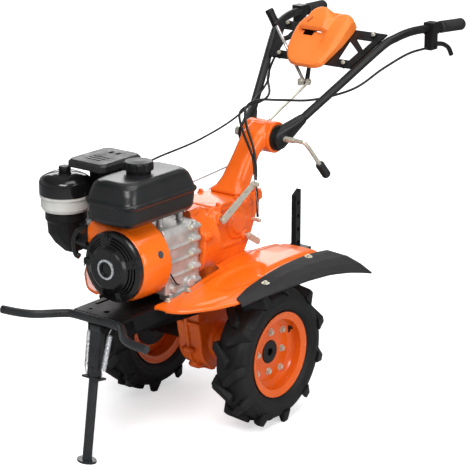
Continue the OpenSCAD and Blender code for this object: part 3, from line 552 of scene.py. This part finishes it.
def eased(name, node, material, body, voxel, rounds):
    """Copy of a CAD node with its edges run round, as a casting or moulding has them; stands for the node."""
    mesh = nodes[node].data.copy()
    shape = bmesh.new()
    shape.from_mesh(mesh)
    bmesh.ops.remove_doubles(shape, verts=shape.verts, dist=1e-5)
    shape.to_mesh(mesh)
    shape.free()
    holder = held(mesh)
    remesh = holder.modifiers.new("remesh", "REMESH")
    remesh.mode = "VOXEL"
    remesh.voxel_size = voxel
    soften = holder.modifiers.new("soften", "SMOOTH")
    soften.factor = 0.5
    soften.iterations = rounds
    made = piece(name, read_off(holder), material, 80)
    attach(made, body)
    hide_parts(node)


eased("axle_casting", "axle_case", cast_orange, "chassis", 0.0024, 5)
eased("gearbox_casting", "gearbox", cast_orange, "chassis", 0.0024, 5)
eased("column_casting", "column", cast_orange, "chassis", 0.0022, 8)

crank_z = 0.499
bell_face = 0.104
bell_bolt_radius = 0.097
bell_bolts = []
for degrees in range(20, 341, 46):
    turn = math.radians(degrees)
    place = at(bell_face, bell_bolt_radius * math.cos(turn), crank_z + bell_bolt_radius * math.sin(turn))
    bell_bolts.append((place, (-1, 0, 0)))
fasten("bell_bolts", "chassis", bell_bolts, 0.013, 0.008, 0.0105, cast_orange)
flange_top = 0.592
flange_bolts = [(at(x, sign * 0.062, flange_top), (0, 0, 1))
                for x in (-0.146, -0.046, 0.034) for sign in (-1, 1)]
fasten("flange_bolts", "chassis", flange_bolts, 0.012, 0.007, 0.0092, cast_orange)
seam_radius = 0.090
seam_half = 0.013
seam_bolts = []
for degrees in range(190, 351, 40):
    turn = math.radians(degrees)
    for sign in (-1, 1):
        place = at(seam_radius * math.cos(turn), sign * seam_half, axle_z + seam_radius * math.sin(turn))
        seam_bolts.append((place, (0, sign, 0)))
fasten("seam_bolts", "chassis", seam_bolts, 0.011, 0.006, 0.0085, cast_orange)


# Front bed: a black steel plate with turned-down skirts, welded to two rails that run back to the axle
# case. A bent guard tube in glossier paint, a lighter blue-grey black that carries a painted sheen, is welded
# across its nose.
# painted sheen: this black is glossier, and also lighter and bluish as a painted highlight along the tube
guard_black_painted_sheen = finish("guard_black_painted_sheen", (0.014, 0.0148, 0.0155), (0.022, 0.0232, 0.0242), 0.3, 500, 0.0001,
                     patch=16, spread=0.06, coat=0.12, shine=0.5)
deck_paint = finish("deck_paint", (0.0045, 0.0045, 0.0047), (0.008, 0.008, 0.0084), 0.42, 500, 0.00012,
                    patch=16, spread=0.07, shine=0.2)
dress(deck_paint, "front_frame")
dress(guard_black_painted_sheen, "front_guard")


# Stand: a black tube on an oval foot, pinned in a bracket under the bed, with two bright coil springs that
# hold it up or down past its dead point. The tube takes the guard's lighter black, with its painted sheen.
dress(deck_paint, "stand_bracket")
# the stand's leg takes the guard's black with its painted sheen
dress(guard_black_painted_sheen, "stand_leg")
spring_steel = finish("spring_steel", (0.60, 0.61, 0.63), (0.76, 0.77, 0.79), 0.28, 1400, 0.00005,
                      patch=140, spread=0.08, metal=0.7)


def tube(name, points, radius, material, sides):
    """Round wire or tube along points."""
    line = bpy.data.curves.new("line", "CURVE")
    line.dimensions = "3D"
    spline = line.splines.new("POLY")
    spline.points.add(len(points) - 1)
    for spot, place in zip(spline.points, points):
        spot.co = (*place, 1)
    line.bevel_depth = radius
    line.bevel_resolution = max(sides // 4, 1)
    line.use_fill_caps = True
    return piece(name, read_off(held(line)), material, 60)


def side_ways(direction):
    """Two unit vectors square to direction and to each other."""
    along = Vector(direction).normalized()
    across = along.cross(Vector((1, 0, 0)) if abs(along.x) < 0.8 else Vector((0, 0, 1))).normalized()
    return across, along.cross(across)


spring_turns = 28
spring_steps = 12
spring_radius = 0.0058
spring_wire = 0.0014
spring_reach = 0.126
stand_pivot = at(0.452, 0, 0.352)
leg_way = (at(0.507, 0, 0) - stand_pivot).normalized()
for side, sign in (("left", 1), ("right", -1)):
    top = at(0.443, sign * 0.0365, 0.3524)
    bottom = stand_pivot + leg_way * spring_reach + Vector((0, sign * 0.027, 0))
    across, over = side_ways(bottom - top)
    points = [top]
    for k in range(spring_turns * spring_steps + 1):
        turn = 2 * math.pi * k / spring_steps
        share = 0.14 + 0.72 * k / (spring_turns * spring_steps)
        swing = across * math.cos(turn) + over * math.sin(turn)
        points.append(top.lerp(bottom, share) + spring_radius * swing)
    points.append(bottom)
    made = tube("stand_spring_" + side, points, spring_wire, spring_steel, 8)
    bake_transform(made)
    if side == "left":
        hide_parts("stand_springs")


# Engine block: crankcase and cylinder are die-cast aluminium left bare, bolted to the bed by the case's
# feet. Plated bolts close the rear cover's seam, and a thin sensor wire comes out under the shroud.
bare_alloy = finish("bare_alloy", (0.44, 0.43, 0.41), (0.58, 0.57, 0.545), 0.46, 520, 0.0004, patch=30,
                    spread=0.1, metal=0.55)
eased("crankcase_casting", "crankcase", bare_alloy, "chassis", 0.0022, 4)
dress(bare_alloy, "cylinder_head")
case_bolts = [(at(0.176, 0.082, z), (1, 0, 0)) for z in (0.420, 0.458, 0.496, 0.534, 0.568)]
fasten("case_bolts", "chassis", case_bolts, 0.010, 0.006, 0.0078, zinc_plate)


def flowing(points, steps):
    """Places along a smooth curve through points."""
    p = [Vector(q) for q in points]
    p = [p[0] * 2 - p[1]] + p + [p[-1] * 2 - p[-2]]
    result = []
    for i in range(1, len(p) - 2):
        for k in range(steps):
            t = k / steps
            result.append(0.5 * (2 * p[i] + (p[i + 1] - p[i - 1]) * t
                                 + (2 * p[i - 1] - 5 * p[i] + 4 * p[i + 1] - p[i + 2]) * t ** 2
                                 + (3 * p[i] - p[i - 1] - 3 * p[i + 1] + p[i + 2]) * t ** 3))
    return result + [p[-2]]


cable_sheath = finish("cable_sheath", (0.006, 0.006, 0.0064), (0.0095, 0.0095, 0.010), 0.38, 900, 0.0001,
                      patch=40, shine=0.35)
sensor_wire = flowing([at(0.276, 0.080, 0.478), at(0.266, 0.0865, 0.466), at(0.252, 0.0875, 0.446),
                       at(0.238, 0.086, 0.430), at(0.222, 0.080, 0.424)], 8)
made = tube("oil_sensor_wire", sensor_wire, 0.0021, cable_sheath, 10)
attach(made, "chassis")


# Fan shroud: a cowl pressed of sheet steel round the fan and enamelled orange. It carries the recoil
# starter, and a rubber plug closes the hole on its side.
eased("shroud_pressing", "fan_shroud", orange_enamel, "chassis", 0.0026, 24)
plug_turn = math.radians(19)
plug_way = Vector((0, math.cos(plug_turn), math.sin(plug_turn)))
plug_seat = at(0.314, 0, crank_z) + plug_way * 0.1015
plug_outline = [(0, -0.004), (0.010, -0.004), (0.010, 0.0005), (0.0088, 0.0016), (0, 0.0020)]
plug = turned(rounded(plug_outline, 0.0005, 2), (0, 0, 0), 32, "Z")
plug_rubber = finish("plug_rubber", (0.040, 0.045, 0.052), (0.056, 0.062, 0.070), 0.6, 900, 0.0002,
                     patch=60, shine=0.3)
made = piece("shroud_plug", stood(plug, plug_seat, plug_way), plug_rubber, 40)
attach(made, "chassis")


# Recoil starter: a black moulded cover with ring louvres over the fan, held to the shroud by four dark
# bolts. A bare bright ring is set in its middle, and a pull handle stands at its right.
starter_plastic = finish("starter_plastic", (0.006, 0.006, 0.0064), (0.0095, 0.0095, 0.010), 0.27, 1200,
                         0.00005, patch=20, spread=0.06, coat=0.15, shine=0.5)
dress(starter_plastic, "recoil_cover", "recoil_handle")
recoil_x = 0.3792
ring_inner = 0.0212
ring_outer = 0.0268
ring_outline = [(ring_inner, 0.0370), (ring_outer, 0.0370), (ring_outer, 0.0412), (ring_inner, 0.0419)]
ring = turned(rounded(ring_outline, 0.0004, 2), at(recoil_x, 0, crank_z), 72, "X")
made = piece("recoil_ring", ring, spring_steel, 35)
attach(made, "chassis")
recoil_bolt_face = recoil_x + 0.019
recoil_bolt_radius = 0.084
recoil_bolts = []
for degrees in (17, 100, 178, 290):
    turn = math.radians(degrees)
    place = at(recoil_bolt_face, recoil_bolt_radius * math.cos(turn),
               crank_z + recoil_bolt_radius * math.sin(turn))
    recoil_bolts.append((place, (1, 0, 0)))
fasten("recoil_bolts", "chassis", recoil_bolts, 0.008, 0.005, 0.0075, black_enamel)


# Fuel tank: two pressed steel halves, joined at a seam lip and painted satin black. It stands over the
# crankcase, and a black plastic cap with finger flutes screws on its filler neck.
tank_black = finish("tank_black", (0.0085, 0.0088, 0.0092), (0.013, 0.0133, 0.014), 0.32, 700, 0.00008,
                    patch=10, spread=0.05, coat=0.1, shine=0.4)
eased("tank_pressing", "fuel_tank", tank_black, "chassis", 0.0024, 4)
black_plastic = finish("black_plastic", (0.006, 0.006, 0.0064), (0.0095, 0.0095, 0.010), 0.38, 1600, 0.00008,
                       patch=26, spread=0.07, shine=0.3)
dress(black_plastic, "tank_cap")


# Air cleaner: a glossy black moulded cap, lobed on top and held down by a scalloped knob, over a pale
# plastic oil bowl with a lip. The black duct below leads the air to the carburettor.
gloss_black = finish("gloss_black", (0.007, 0.007, 0.0075), (0.010, 0.010, 0.0105), 0.16, 600, 0.00005,
                     patch=12, spread=0.05, coat=0.3)
bowl_plastic = finish("bowl_plastic", (0.56, 0.55, 0.51), (0.68, 0.67, 0.63), 0.42, 900, 0.0001, patch=18)


def soft_step(t):
    """Smooth rise from 0 to 1 as t goes from 0 to 1."""
    t = min(max(t, 0), 1)
    return t * t * (3 - 2 * t)


cleaner = at(0.330, -0.216, 0)
cap_radius = 0.069
cap_outline = [(0, 0.646), (cap_radius - 0.001, 0.646), (cap_radius, 0.648), (cap_radius, 0.678),
               (cap_radius - 0.003, 0.687), (cap_radius - 0.010, 0.694), (cap_radius - 0.024, 0.699),
               (0.034, 0.7015), (0.022, 0.703), (0, 0.704)]
cap = turned(rounded(cap_outline, 0.003, 3), cleaner, 96, "Z")
cap_lobes = 3
lobe_rise = 0.0022
lobe_low = 0.680
lobe_inner = 0.012
lobe_turn = 0.9
for v in cap.vertices:
    out = Vector((v.co.x - cleaner.x, v.co.y - cleaner.y))
    swell = soft_step((v.co.z - lobe_low) / 0.016) * soft_step((out.length - lobe_inner) / 0.02)
    if swell > 0:
        v.co.z += lobe_rise * swell * math.cos(cap_lobes * math.atan2(out.y, out.x) + lobe_turn)
made = piece("cleaner_cap_moulding", cap, gloss_black, 50)
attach(made, "chassis")
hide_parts("cleaner_cap")
knob_outline = [(0, 0.702), (0.014, 0.702), (0.0165, 0.706), (0.0165, 0.716), (0.0145, 0.720),
                (0.007, 0.7205), (0, 0.7205)]
knob = turned(rounded(knob_outline, 0.0015, 3), cleaner, 96, "Z")
knob_fingers = 9
finger_inner = 0.009
finger_depth = 0.045
for v in knob.vertices:
    out = Vector((v.co.x - cleaner.x, v.co.y - cleaner.y))
    if out.length > finger_inner:
        dip = finger_depth * (1 + math.cos(knob_fingers * math.atan2(out.y, out.x)))
        pull = 1 - dip * soft_step((out.length - finger_inner) / 0.005)
        v.co.x = cleaner.x + out.x * pull
        v.co.y = cleaner.y + out.y * pull
made = piece("cleaner_knob", knob, black_plastic, 50)
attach(made, "chassis")
dress(bowl_plastic, "cleaner_bowl")
lip_outline = [(0.060, 0.6372), (0.0670, 0.6372), (0.0686, 0.6385), (0.0686, 0.6452), (0.060, 0.6452)]
lip = turned(rounded(lip_outline, 0.001, 2), cleaner, 96, "Z")
made = piece("bowl_lip", lip, bowl_plastic, 40)
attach(made, "chassis")
dress(black_plastic, "cleaner_base", "carburettor")


# Muffler: a box folded of steel sheet behind the air cleaner, on a short pipe from the cylinder. A pressed
# guard with vent holes covers its top, in heat-proof black.
heat_black = finish("heat_black", (0.014, 0.014, 0.014), (0.024, 0.024, 0.0235), 0.42, 700, 0.0002,
                    patch=30, spread=0.1, shine=0.4)
dress(heat_black, "muffler", "muffler_guard")


# Handlebar: two bent steel tubes in satin black, each welded to a round boss at its foot. The clamp bolt
# pins both bosses to the column's head, where they tilt.
dress(black_enamel, "handle_left", "handle_right")


# Grips and levers: ribbed black rubber sleeves pushed on the ends of the tubes, and enamelled hand
# levers in brackets that are clamped round the tubes ahead of them.
grip_rubber = finish("grip_rubber", (0.012, 0.012, 0.0125), (0.019, 0.019, 0.0195), 0.55, 1100, 0.0002,
                     patch=30, spread=0.08, shine=0.3)


def ribbed(radius, length, first, last, count, deep):
    """Turned sleeve up +z from the origin with count rings cut between first and last."""
    outline = [(0, 0), (radius * 0.86, 0), (radius, 0.004), (radius, first - 0.002)]
    pitch = (last - first) / count
    for k in range(count):
        low = first + k * pitch
        outline += [(radius - deep, low), (radius - deep, low + 0.35 * pitch),
                    (radius - 0.2 * deep, low + 0.5 * pitch), (radius - 0.2 * deep, low + 0.85 * pitch)]
    outline += [(radius, last + 0.001), (radius, length - 0.005), (radius * 0.86, length), (0, length)]
    return turned(rounded(outline, 0.0006, 2), (0, 0, 0), 40, "Z")


grip_way = Vector((-0.992, 0.119, -0.044)).normalized()
grip_start = at(-0.757, 0.233, 0.974) + grip_way * 0.0208
sleeve = stood(ribbed(radius=0.0178, length=0.105, first=0.018, last=0.090, count=18, deep=0.0012),
               grip_start, grip_way)
for side, mesh in (("left", sleeve), ("right", mirrored(sleeve))):
    made = piece("grip_sleeve_" + side, mesh, grip_rubber, 35)
    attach(made, "handlebar")
    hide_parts("grip_" + side)
dress(black_enamel, "clutch_lever_left", "clutch_lever_right")


# Panel: a black moulded bracket, bolted between the tubes with four small bolts, and a hooded cover
# moulded of matt orange plastic over it, with a mouth under the hood's lip.
panel_orange = finish("panel_orange", (0.84, 0.190, 0.026), (0.89, 0.214, 0.034), 0.42, 1400, 0.0001,
                      patch=8, spread=0.05, shine=0.4)
dress(black_plastic, "panel_bracket")
eased("panel_moulding", "panel_cover", panel_orange, "handlebar", 0.0013, 3)
panel_foot = at(-0.440, 0, 0.876)
panel_up = Vector((-0.804, 0, 0.595))
panel_out = Vector((0.595, 0, 0.804))
bracket_bolts = [(panel_foot + Vector((0, sign * y, 0)) + panel_up * s + panel_out * 0.004, panel_out)
                 for y, s in ((0.112, 0.042), (0.150, 0.158)) for sign in (-1, 1)]
fasten("bracket_bolts", "handlebar", bracket_bolts, 0.0078, 0.004, 0.0060, zinc_plate)


# Gear lever: a bent chrome rod with a ribbed black knob, pinned under the panel's bracket. A thin plated
# rod links it down to the column's head.
chrome = finish("chrome", (0.60, 0.61, 0.62), (0.72, 0.73, 0.74), 0.18, 900, 0.00002, patch=40,
                spread=0.05, metal=0.7)
shift_pivot = at(-0.458, -0.008, 0.836)
lever_line = flowing([shift_pivot + Vector((0, -0.006, 0)), at(-0.482, -0.056, 0.868),
                      at(-0.497, -0.104, 0.918), at(-0.488, -0.134, 0.978), at(-0.487, -0.137, 0.984)], 8)
made = tube("gear_lever_rod", lever_line, 0.0048, chrome, 16)
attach(made, "handlebar")
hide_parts("gear_lever")
knob_low = at(-0.488, -0.134, 0.978)
knob_high = at(-0.4835, -0.15875, 1.023)
knob_run = knob_high - knob_low
knob = ribbed(radius=0.0128, length=knob_run.length, first=0.010, last=0.040, count=7, deep=0.0011)
made = piece("gear_lever_knob", stood(knob, knob_low, knob_run), black_plastic, 35)
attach(made, "handlebar")
pin = turned(rounded([(0, 0), (0.004, 0), (0.004, 0.028), (0, 0.028)], 0.0004, 2), (0, 0, 0), 24, "Z")
made = piece("gear_lever_pin", stood(pin, shift_pivot + Vector((0, -0.010, 0)), (0, 1, 0)), zinc_plate, 40)
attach(made, "handlebar")
shape = bmesh.new()
bmesh.ops.create_cube(shape, size=1, matrix=Matrix.Translation(shift_pivot + Vector((0, -0.016, -0.003)))
                      @ Matrix.Diagonal((0.018, 0.012, 0.020, 1)))
bmesh.ops.bevel(shape, geom=list(shape.edges), offset=0.0015, segments=2, profile=0.6, affect="EDGES")
made = piece("gear_lever_block", settled("block", shape), zinc_plate, 40)
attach(made, "handlebar")
dress(zinc_plate, "gear_rod")
rod_end = at(-0.296, -0.002, 0.764)
rod_way = (rod_end - at(-0.452, 0.002, 0.832)).normalized()
tip_line = [rod_end + rod_way * reach for reach in (-0.002, 0.008, 0.0165)]
made = tube("gear_rod_tip", tip_line, 0.00405, zinc_plate, 20)
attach(made, "handlebar")


# Clamp lever: a plated through bolt of the column's head, bent down into a lever with a ribbed rubber
# sleeve. Turning it locks the handlebar's tilt.
dress(zinc_plate, "clamp_lever")
handle_pivot = at(-0.249, 0, 0.721)
clamp_start = handle_pivot + Vector((-0.0622, 0.148, -0.0723))
clamp_end = handle_pivot + Vector((-0.094, 0.152, -0.111))
clamp_run = clamp_end - clamp_start
clamp_sleeve = ribbed(radius=0.013, length=clamp_run.length, first=0.008, last=0.043, count=9, deep=0.0011)
made = piece("clamp_sleeve", stood(clamp_sleeve, clamp_start, clamp_run), grip_rubber, 35)
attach(made, "handlebar")
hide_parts("clamp_grip")


# Fenders: pressed steel sheets with a raised panel and a border, enamelled orange and bolted to the case;
# the front edge is rolled round a wire.
fender_lines = ((326, 396, 86, 124), (322, 396.5, 78, 142), (314, 397.4, 74, 159), (300, 399, 76, 178),
                (250, 407, 92, 230), (200, 417, 94, 266), (130, 430, 94, 268), (64, 439, 94, 268),
                (56, 440, 66.6, 268), (-10, 446, 66.6, 268), (-76, 448, 66.6, 268), (-90, 448, 80, 268),
                (-150, 446, 84, 268), (-190, 443, 88, 268))
fender_section = ((0, -8), (0.04, -7), (0.1, -6.6), (0.18, -1), (0.5, 1), (0.72, 0), (0.8, -4.4),
                  (0.97, -5), (1, -8))
fender_sheet = 0.0025
fender_rear = -190
fender_long = 516
fender_rows = 129
fender_columns = 60
roll_radius = 0.0046
roll_from = 0.196
panel_front = 262
panel_fade = 46
oval_centre = (96, 186)
oval_reach = (88, 44)
oval_lift = 4.0


def between(table, x):
    """Row of a table at x, straight between its lines; the first number of each line is the place."""
    rows = sorted(table)
    if x <= rows[0][0]:
        return rows[0][1:]
    for low, high in zip(rows, rows[1:]):
        if x <= high[0]:
            t = (x - low[0]) / (high[0] - low[0])
            return tuple(a + (b - a) * t for a, b in zip(low[1:], high[1:]))
    return rows[-1][1:]


def run_soft(grid, passes):
    """Grid of places with its inner ones drawn towards their neighbours."""
    for _ in range(passes):
        old = [row[:] for row in grid]
        for i in range(len(grid)):
            for j in range(len(grid[0])):
                near = [old[i][j]] * 2
                if 0 < i < len(grid) - 1:
                    near += [old[i - 1][j], old[i + 1][j]]
                if 0 < j < len(grid[0]) - 1:
                    near += [old[i][j - 1], old[i][j + 1]]
                grid[i][j] = sum(near, Vector()) / len(near)
    return grid


def sheet_mesh(grid, thick):
    """Closed sheet whose upper face runs through a grid of places and which is thick downward."""
    shape = bmesh.new()
    upper = [[shape.verts.new(p) for p in row] for row in grid]
    lower = [[shape.verts.new(p - Vector((0, 0, thick))) for p in row] for row in grid]
    last_i, last_j = len(grid) - 1, len(grid[0]) - 1
    for i in range(last_i):
        for j in range(last_j):
            shape.faces.new((upper[i][j], upper[i + 1][j], upper[i + 1][j + 1], upper[i][j + 1]))
            shape.faces.new((lower[i][j], lower[i][j + 1], lower[i + 1][j + 1], lower[i + 1][j]))
    for j in range(last_j):
        for i in (0, last_i):
            shape.faces.new((upper[i][j], upper[i][j + 1], lower[i][j + 1], lower[i][j]))
    for i in range(last_i):
        for j in (0, last_j):
            shape.faces.new((upper[i][j], upper[i + 1][j], lower[i + 1][j], lower[i][j]))
    bmesh.ops.recalc_face_normals(shape, faces=shape.faces)
    return settled("sheet", shape)


def fender_place(x, share):
    """Place on the fender's upper face, x millimetres ahead of the axle and a share of the way out."""
    height, inner, outer = between(fender_lines, x)
    border = -5 if 0.04 < share < 0.97 else -8
    raised = between(fender_section, share)[0]
    fade = soft_step((x - panel_front) / panel_fade)
    y = inner + (outer - inner) * share
    oval = math.hypot((x - oval_centre[0]) / oval_reach[0], (y - oval_centre[1]) / oval_reach[1])
    lift = raised + (border - raised) * fade - oval_lift * soft_step((1.12 - oval) / 0.28)
    return at(x / 1000, y / 1000, (height + lift) / 1000)


fender_steps = [fender_rear + fender_long * k / fender_rows for k in range(fender_rows + 1)]
fender_shares = [k / fender_columns for k in range(fender_columns + 1)]
fender_grid = run_soft([[fender_place(x, s) for s in fender_shares] for x in fender_steps], 2)
fender = sheet_mesh(fender_grid, fender_sheet)
front_edge = fender_grid[-1] + [row[-1] for row in reversed(fender_grid) if row[-1].x > axle_x + roll_from]
for side, sign in (("left", 1), ("right", -1)):
    made = piece("fender_pressing_" + side, fender if sign > 0 else mirrored(fender), orange_enamel, 50)
    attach(made, "chassis")
    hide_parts("fender_" + side)
    roll_line = [Vector((p.x - 0.004, sign * (p.y - 0.003), p.z - 0.0030)) for p in front_edge]
    roll = tube("fender_roll_" + side, roll_line, roll_radius, orange_enamel, 16)
    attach(roll, "chassis")
bolt_spots = ((0.285, 0.094, 0.3972), (0.215, 0.104, 0.4092))
fender_bolts = [(at(x, sign * y, z), (0, 0, 1)) for x, y, z in bolt_spots for sign in (-1, 1)]
fasten("fender_bolts", "chassis", fender_bolts, 0.010, 0.006, 0.0085, zinc_plate)


# Flaps: black rubber sheets bolted along the fenders' outer edges with two washers each. Fine ribs run
# along them, and the rear corner droops in an S.
flap_lines = ((204, 256, 274, 12), (150, 246, 292, 12), (80, 242, 312, 13), (0, 240, 332, 14),
              (-80, 240, 350, 16), (-140, 240, 368, 20), (-186, 243, 388, 25), (-208, 250, 398, 30))
flap_thick = 0.004
flap_sink = 3.35
flap_rear = -208
flap_long = 412
flap_rows = 52
flap_columns = 96
rib_pitch = 6.5
rib_height = 0.5


def flap_place(x, share):
    """Place on the flap's upper face, x millimetres ahead of the axle and a share of the way out."""
    inner, outer, droop = between(flap_lines, x)
    height = between(fender_lines, x)[0] - flap_sink
    y = inner + (outer - inner) * share
    fall = ((0, 4.8), (0.12, 3.8), (0.45, 1), (0.75, -0.4 * droop), (1, -droop))
    fade = soft_step(share * 5) * soft_step(5 - 5 * share)
    rib = rib_height * math.sin(2 * math.pi * (y - inner) / rib_pitch) * fade
    return at(x / 1000, y / 1000, (height + between(fall, share)[0] + rib) / 1000)


flap_steps = [flap_rear + flap_long * k / flap_rows for k in range(flap_rows + 1)]
flap_shares = [k / flap_columns for k in range(flap_columns + 1)]
flap = sheet_mesh(run_soft([[flap_place(x, s) for s in flap_shares] for x in flap_steps], 1), flap_thick)
for side, mesh in (("left", flap), ("right", mirrored(flap))):
    made = piece("flap_rubber_" + side, mesh, grip_rubber, 45)
    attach(made, "chassis")
    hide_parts("flap_" + side)
washers = []
for x, y in ((96, 268), (-118, 252)):
    inner, outer = between(flap_lines, x)[:2]
    spot = flap_place(x, (y - inner) / (outer - inner))
    washers += [(spot, (0, 0.06, 1)), (Vector((spot.x, -spot.y, spot.z)), (0, -0.06, 1))]
fasten("flap_washers", "chassis", washers, 0.010, 0.005, 0.011, zinc_plate)


# Controls on the gearbox: flat plated arms on the shifting shafts, pulled by the inner wires of the
# clutch cables. A barrel holds the upper wire, and a ferrule ends its sheath.
dress(zinc_plate, "control_arms")
arm_tip = at(-0.0865, 0.0935, 0.6310)
barrel_outline = [(0, -0.010), (0.0065, -0.010), (0.0065, 0.012), (0, 0.012)]
barrel = turned(rounded(barrel_outline, 0.0008, 2), (0, 0, 0), 28, "Z")
made = piece("arm_barrel", stood(barrel, arm_tip, (0, 1, 0)), zinc_plate, 40)
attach(made, "chassis")
ferrule_outline = [(0, 0), (0.0048, 0), (0.0048, 0.010), (0.0042, 0.012), (0.0042, 0.022), (0, 0.022)]
ferrule = turned(rounded(ferrule_outline, 0.0006, 2), (0, 0, 0), 24, "Z")
ferrule_seat = at(-0.0855, 0.0968, 0.6365)
ferrule_way = (-0.45, -0.26, 0.86)
made = piece("cable_ferrule", stood(ferrule, ferrule_seat, ferrule_way), spring_steel, 40)
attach(made, "chassis")
wires = {"upper_wire": (arm_tip + Vector((0, 0.002, -0.004)), at(-0.112, 0.090, 0.524)),
         "lower_wire": (at(-0.112, 0.086, 0.519), at(-0.113, 0.086, 0.462))}
for name, ends in wires.items():
    made = tube(name, ends, 0.0009, spring_steel, 8)
    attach(made, "chassis")


# Rear hitch: a jaw welded of black steel plate behind the gearbox, with a hole for a drawbar's pin. A flat
# depth bar, drilled along its length, stands in its slot.
dress(black_enamel, "hitch_bracket", "depth_bar")


# Cables: steel wires in black plastic sheaths. Two run from the hand levers to the gearbox's arms, one
# from the panel to the carburettor, and a thin grey stop wire runs from the column to the engine.
grey_sheath = finish("grey_sheath", (0.3, 0.3, 0.3), (0.4, 0.4, 0.4), 0.45, 900, 0.0001, patch=40)
dress(grey_sheath, "stop_wire")
cable_lines = {
    "cable_left": (0.0035, ((-720.4, 233, 921), (-650, 212, 912), (-560, 186, 880), (-470, 150, 834),
                            (-390, 70, 806), (-330, 0, 806), (-270, -34, 812), (-215, -34, 802),
                            (-172, -2, 768), (-134, 52, 716), (-102, 86, 672), (-86, 96.9, 642))),
    "cable_right": (0.0035, ((-720.4, -233, 921), (-650, -212, 912), (-560, -186, 880), (-470, -150, 834),
                             (-385, -82, 806), (-310, -52, 800), (-245, -52, 798), (-200, -46, 784),
                             (-160, -4, 748), (-122, 58, 696), (-104, 80, 650), (-108, 84, 600),
                             (-112, 84, 560), (-112, 84, 531))),
    "throttle_cable": (0.003, ((-564, -188, 931.2), (-487, -156, 876.2), (-400, -104.2, 825.8),
                               (-230, -72, 772), (-57, -72, 736), (112, -82, 718), (172, -85, 706),
                               (236, -86, 688), (262, -87, 668), (286, -104, 636), (312, -130, 596),
                               (314, -136, 578.4))),
}
for name, (radius, line) in cable_lines.items():
    run = flowing([at(x / 1000, y / 1000, z / 1000) for x, y, z in line], 10)
    made = tube(name + "_sheath", run, radius, cable_sheath, 12)
    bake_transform(made)
    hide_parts(name)
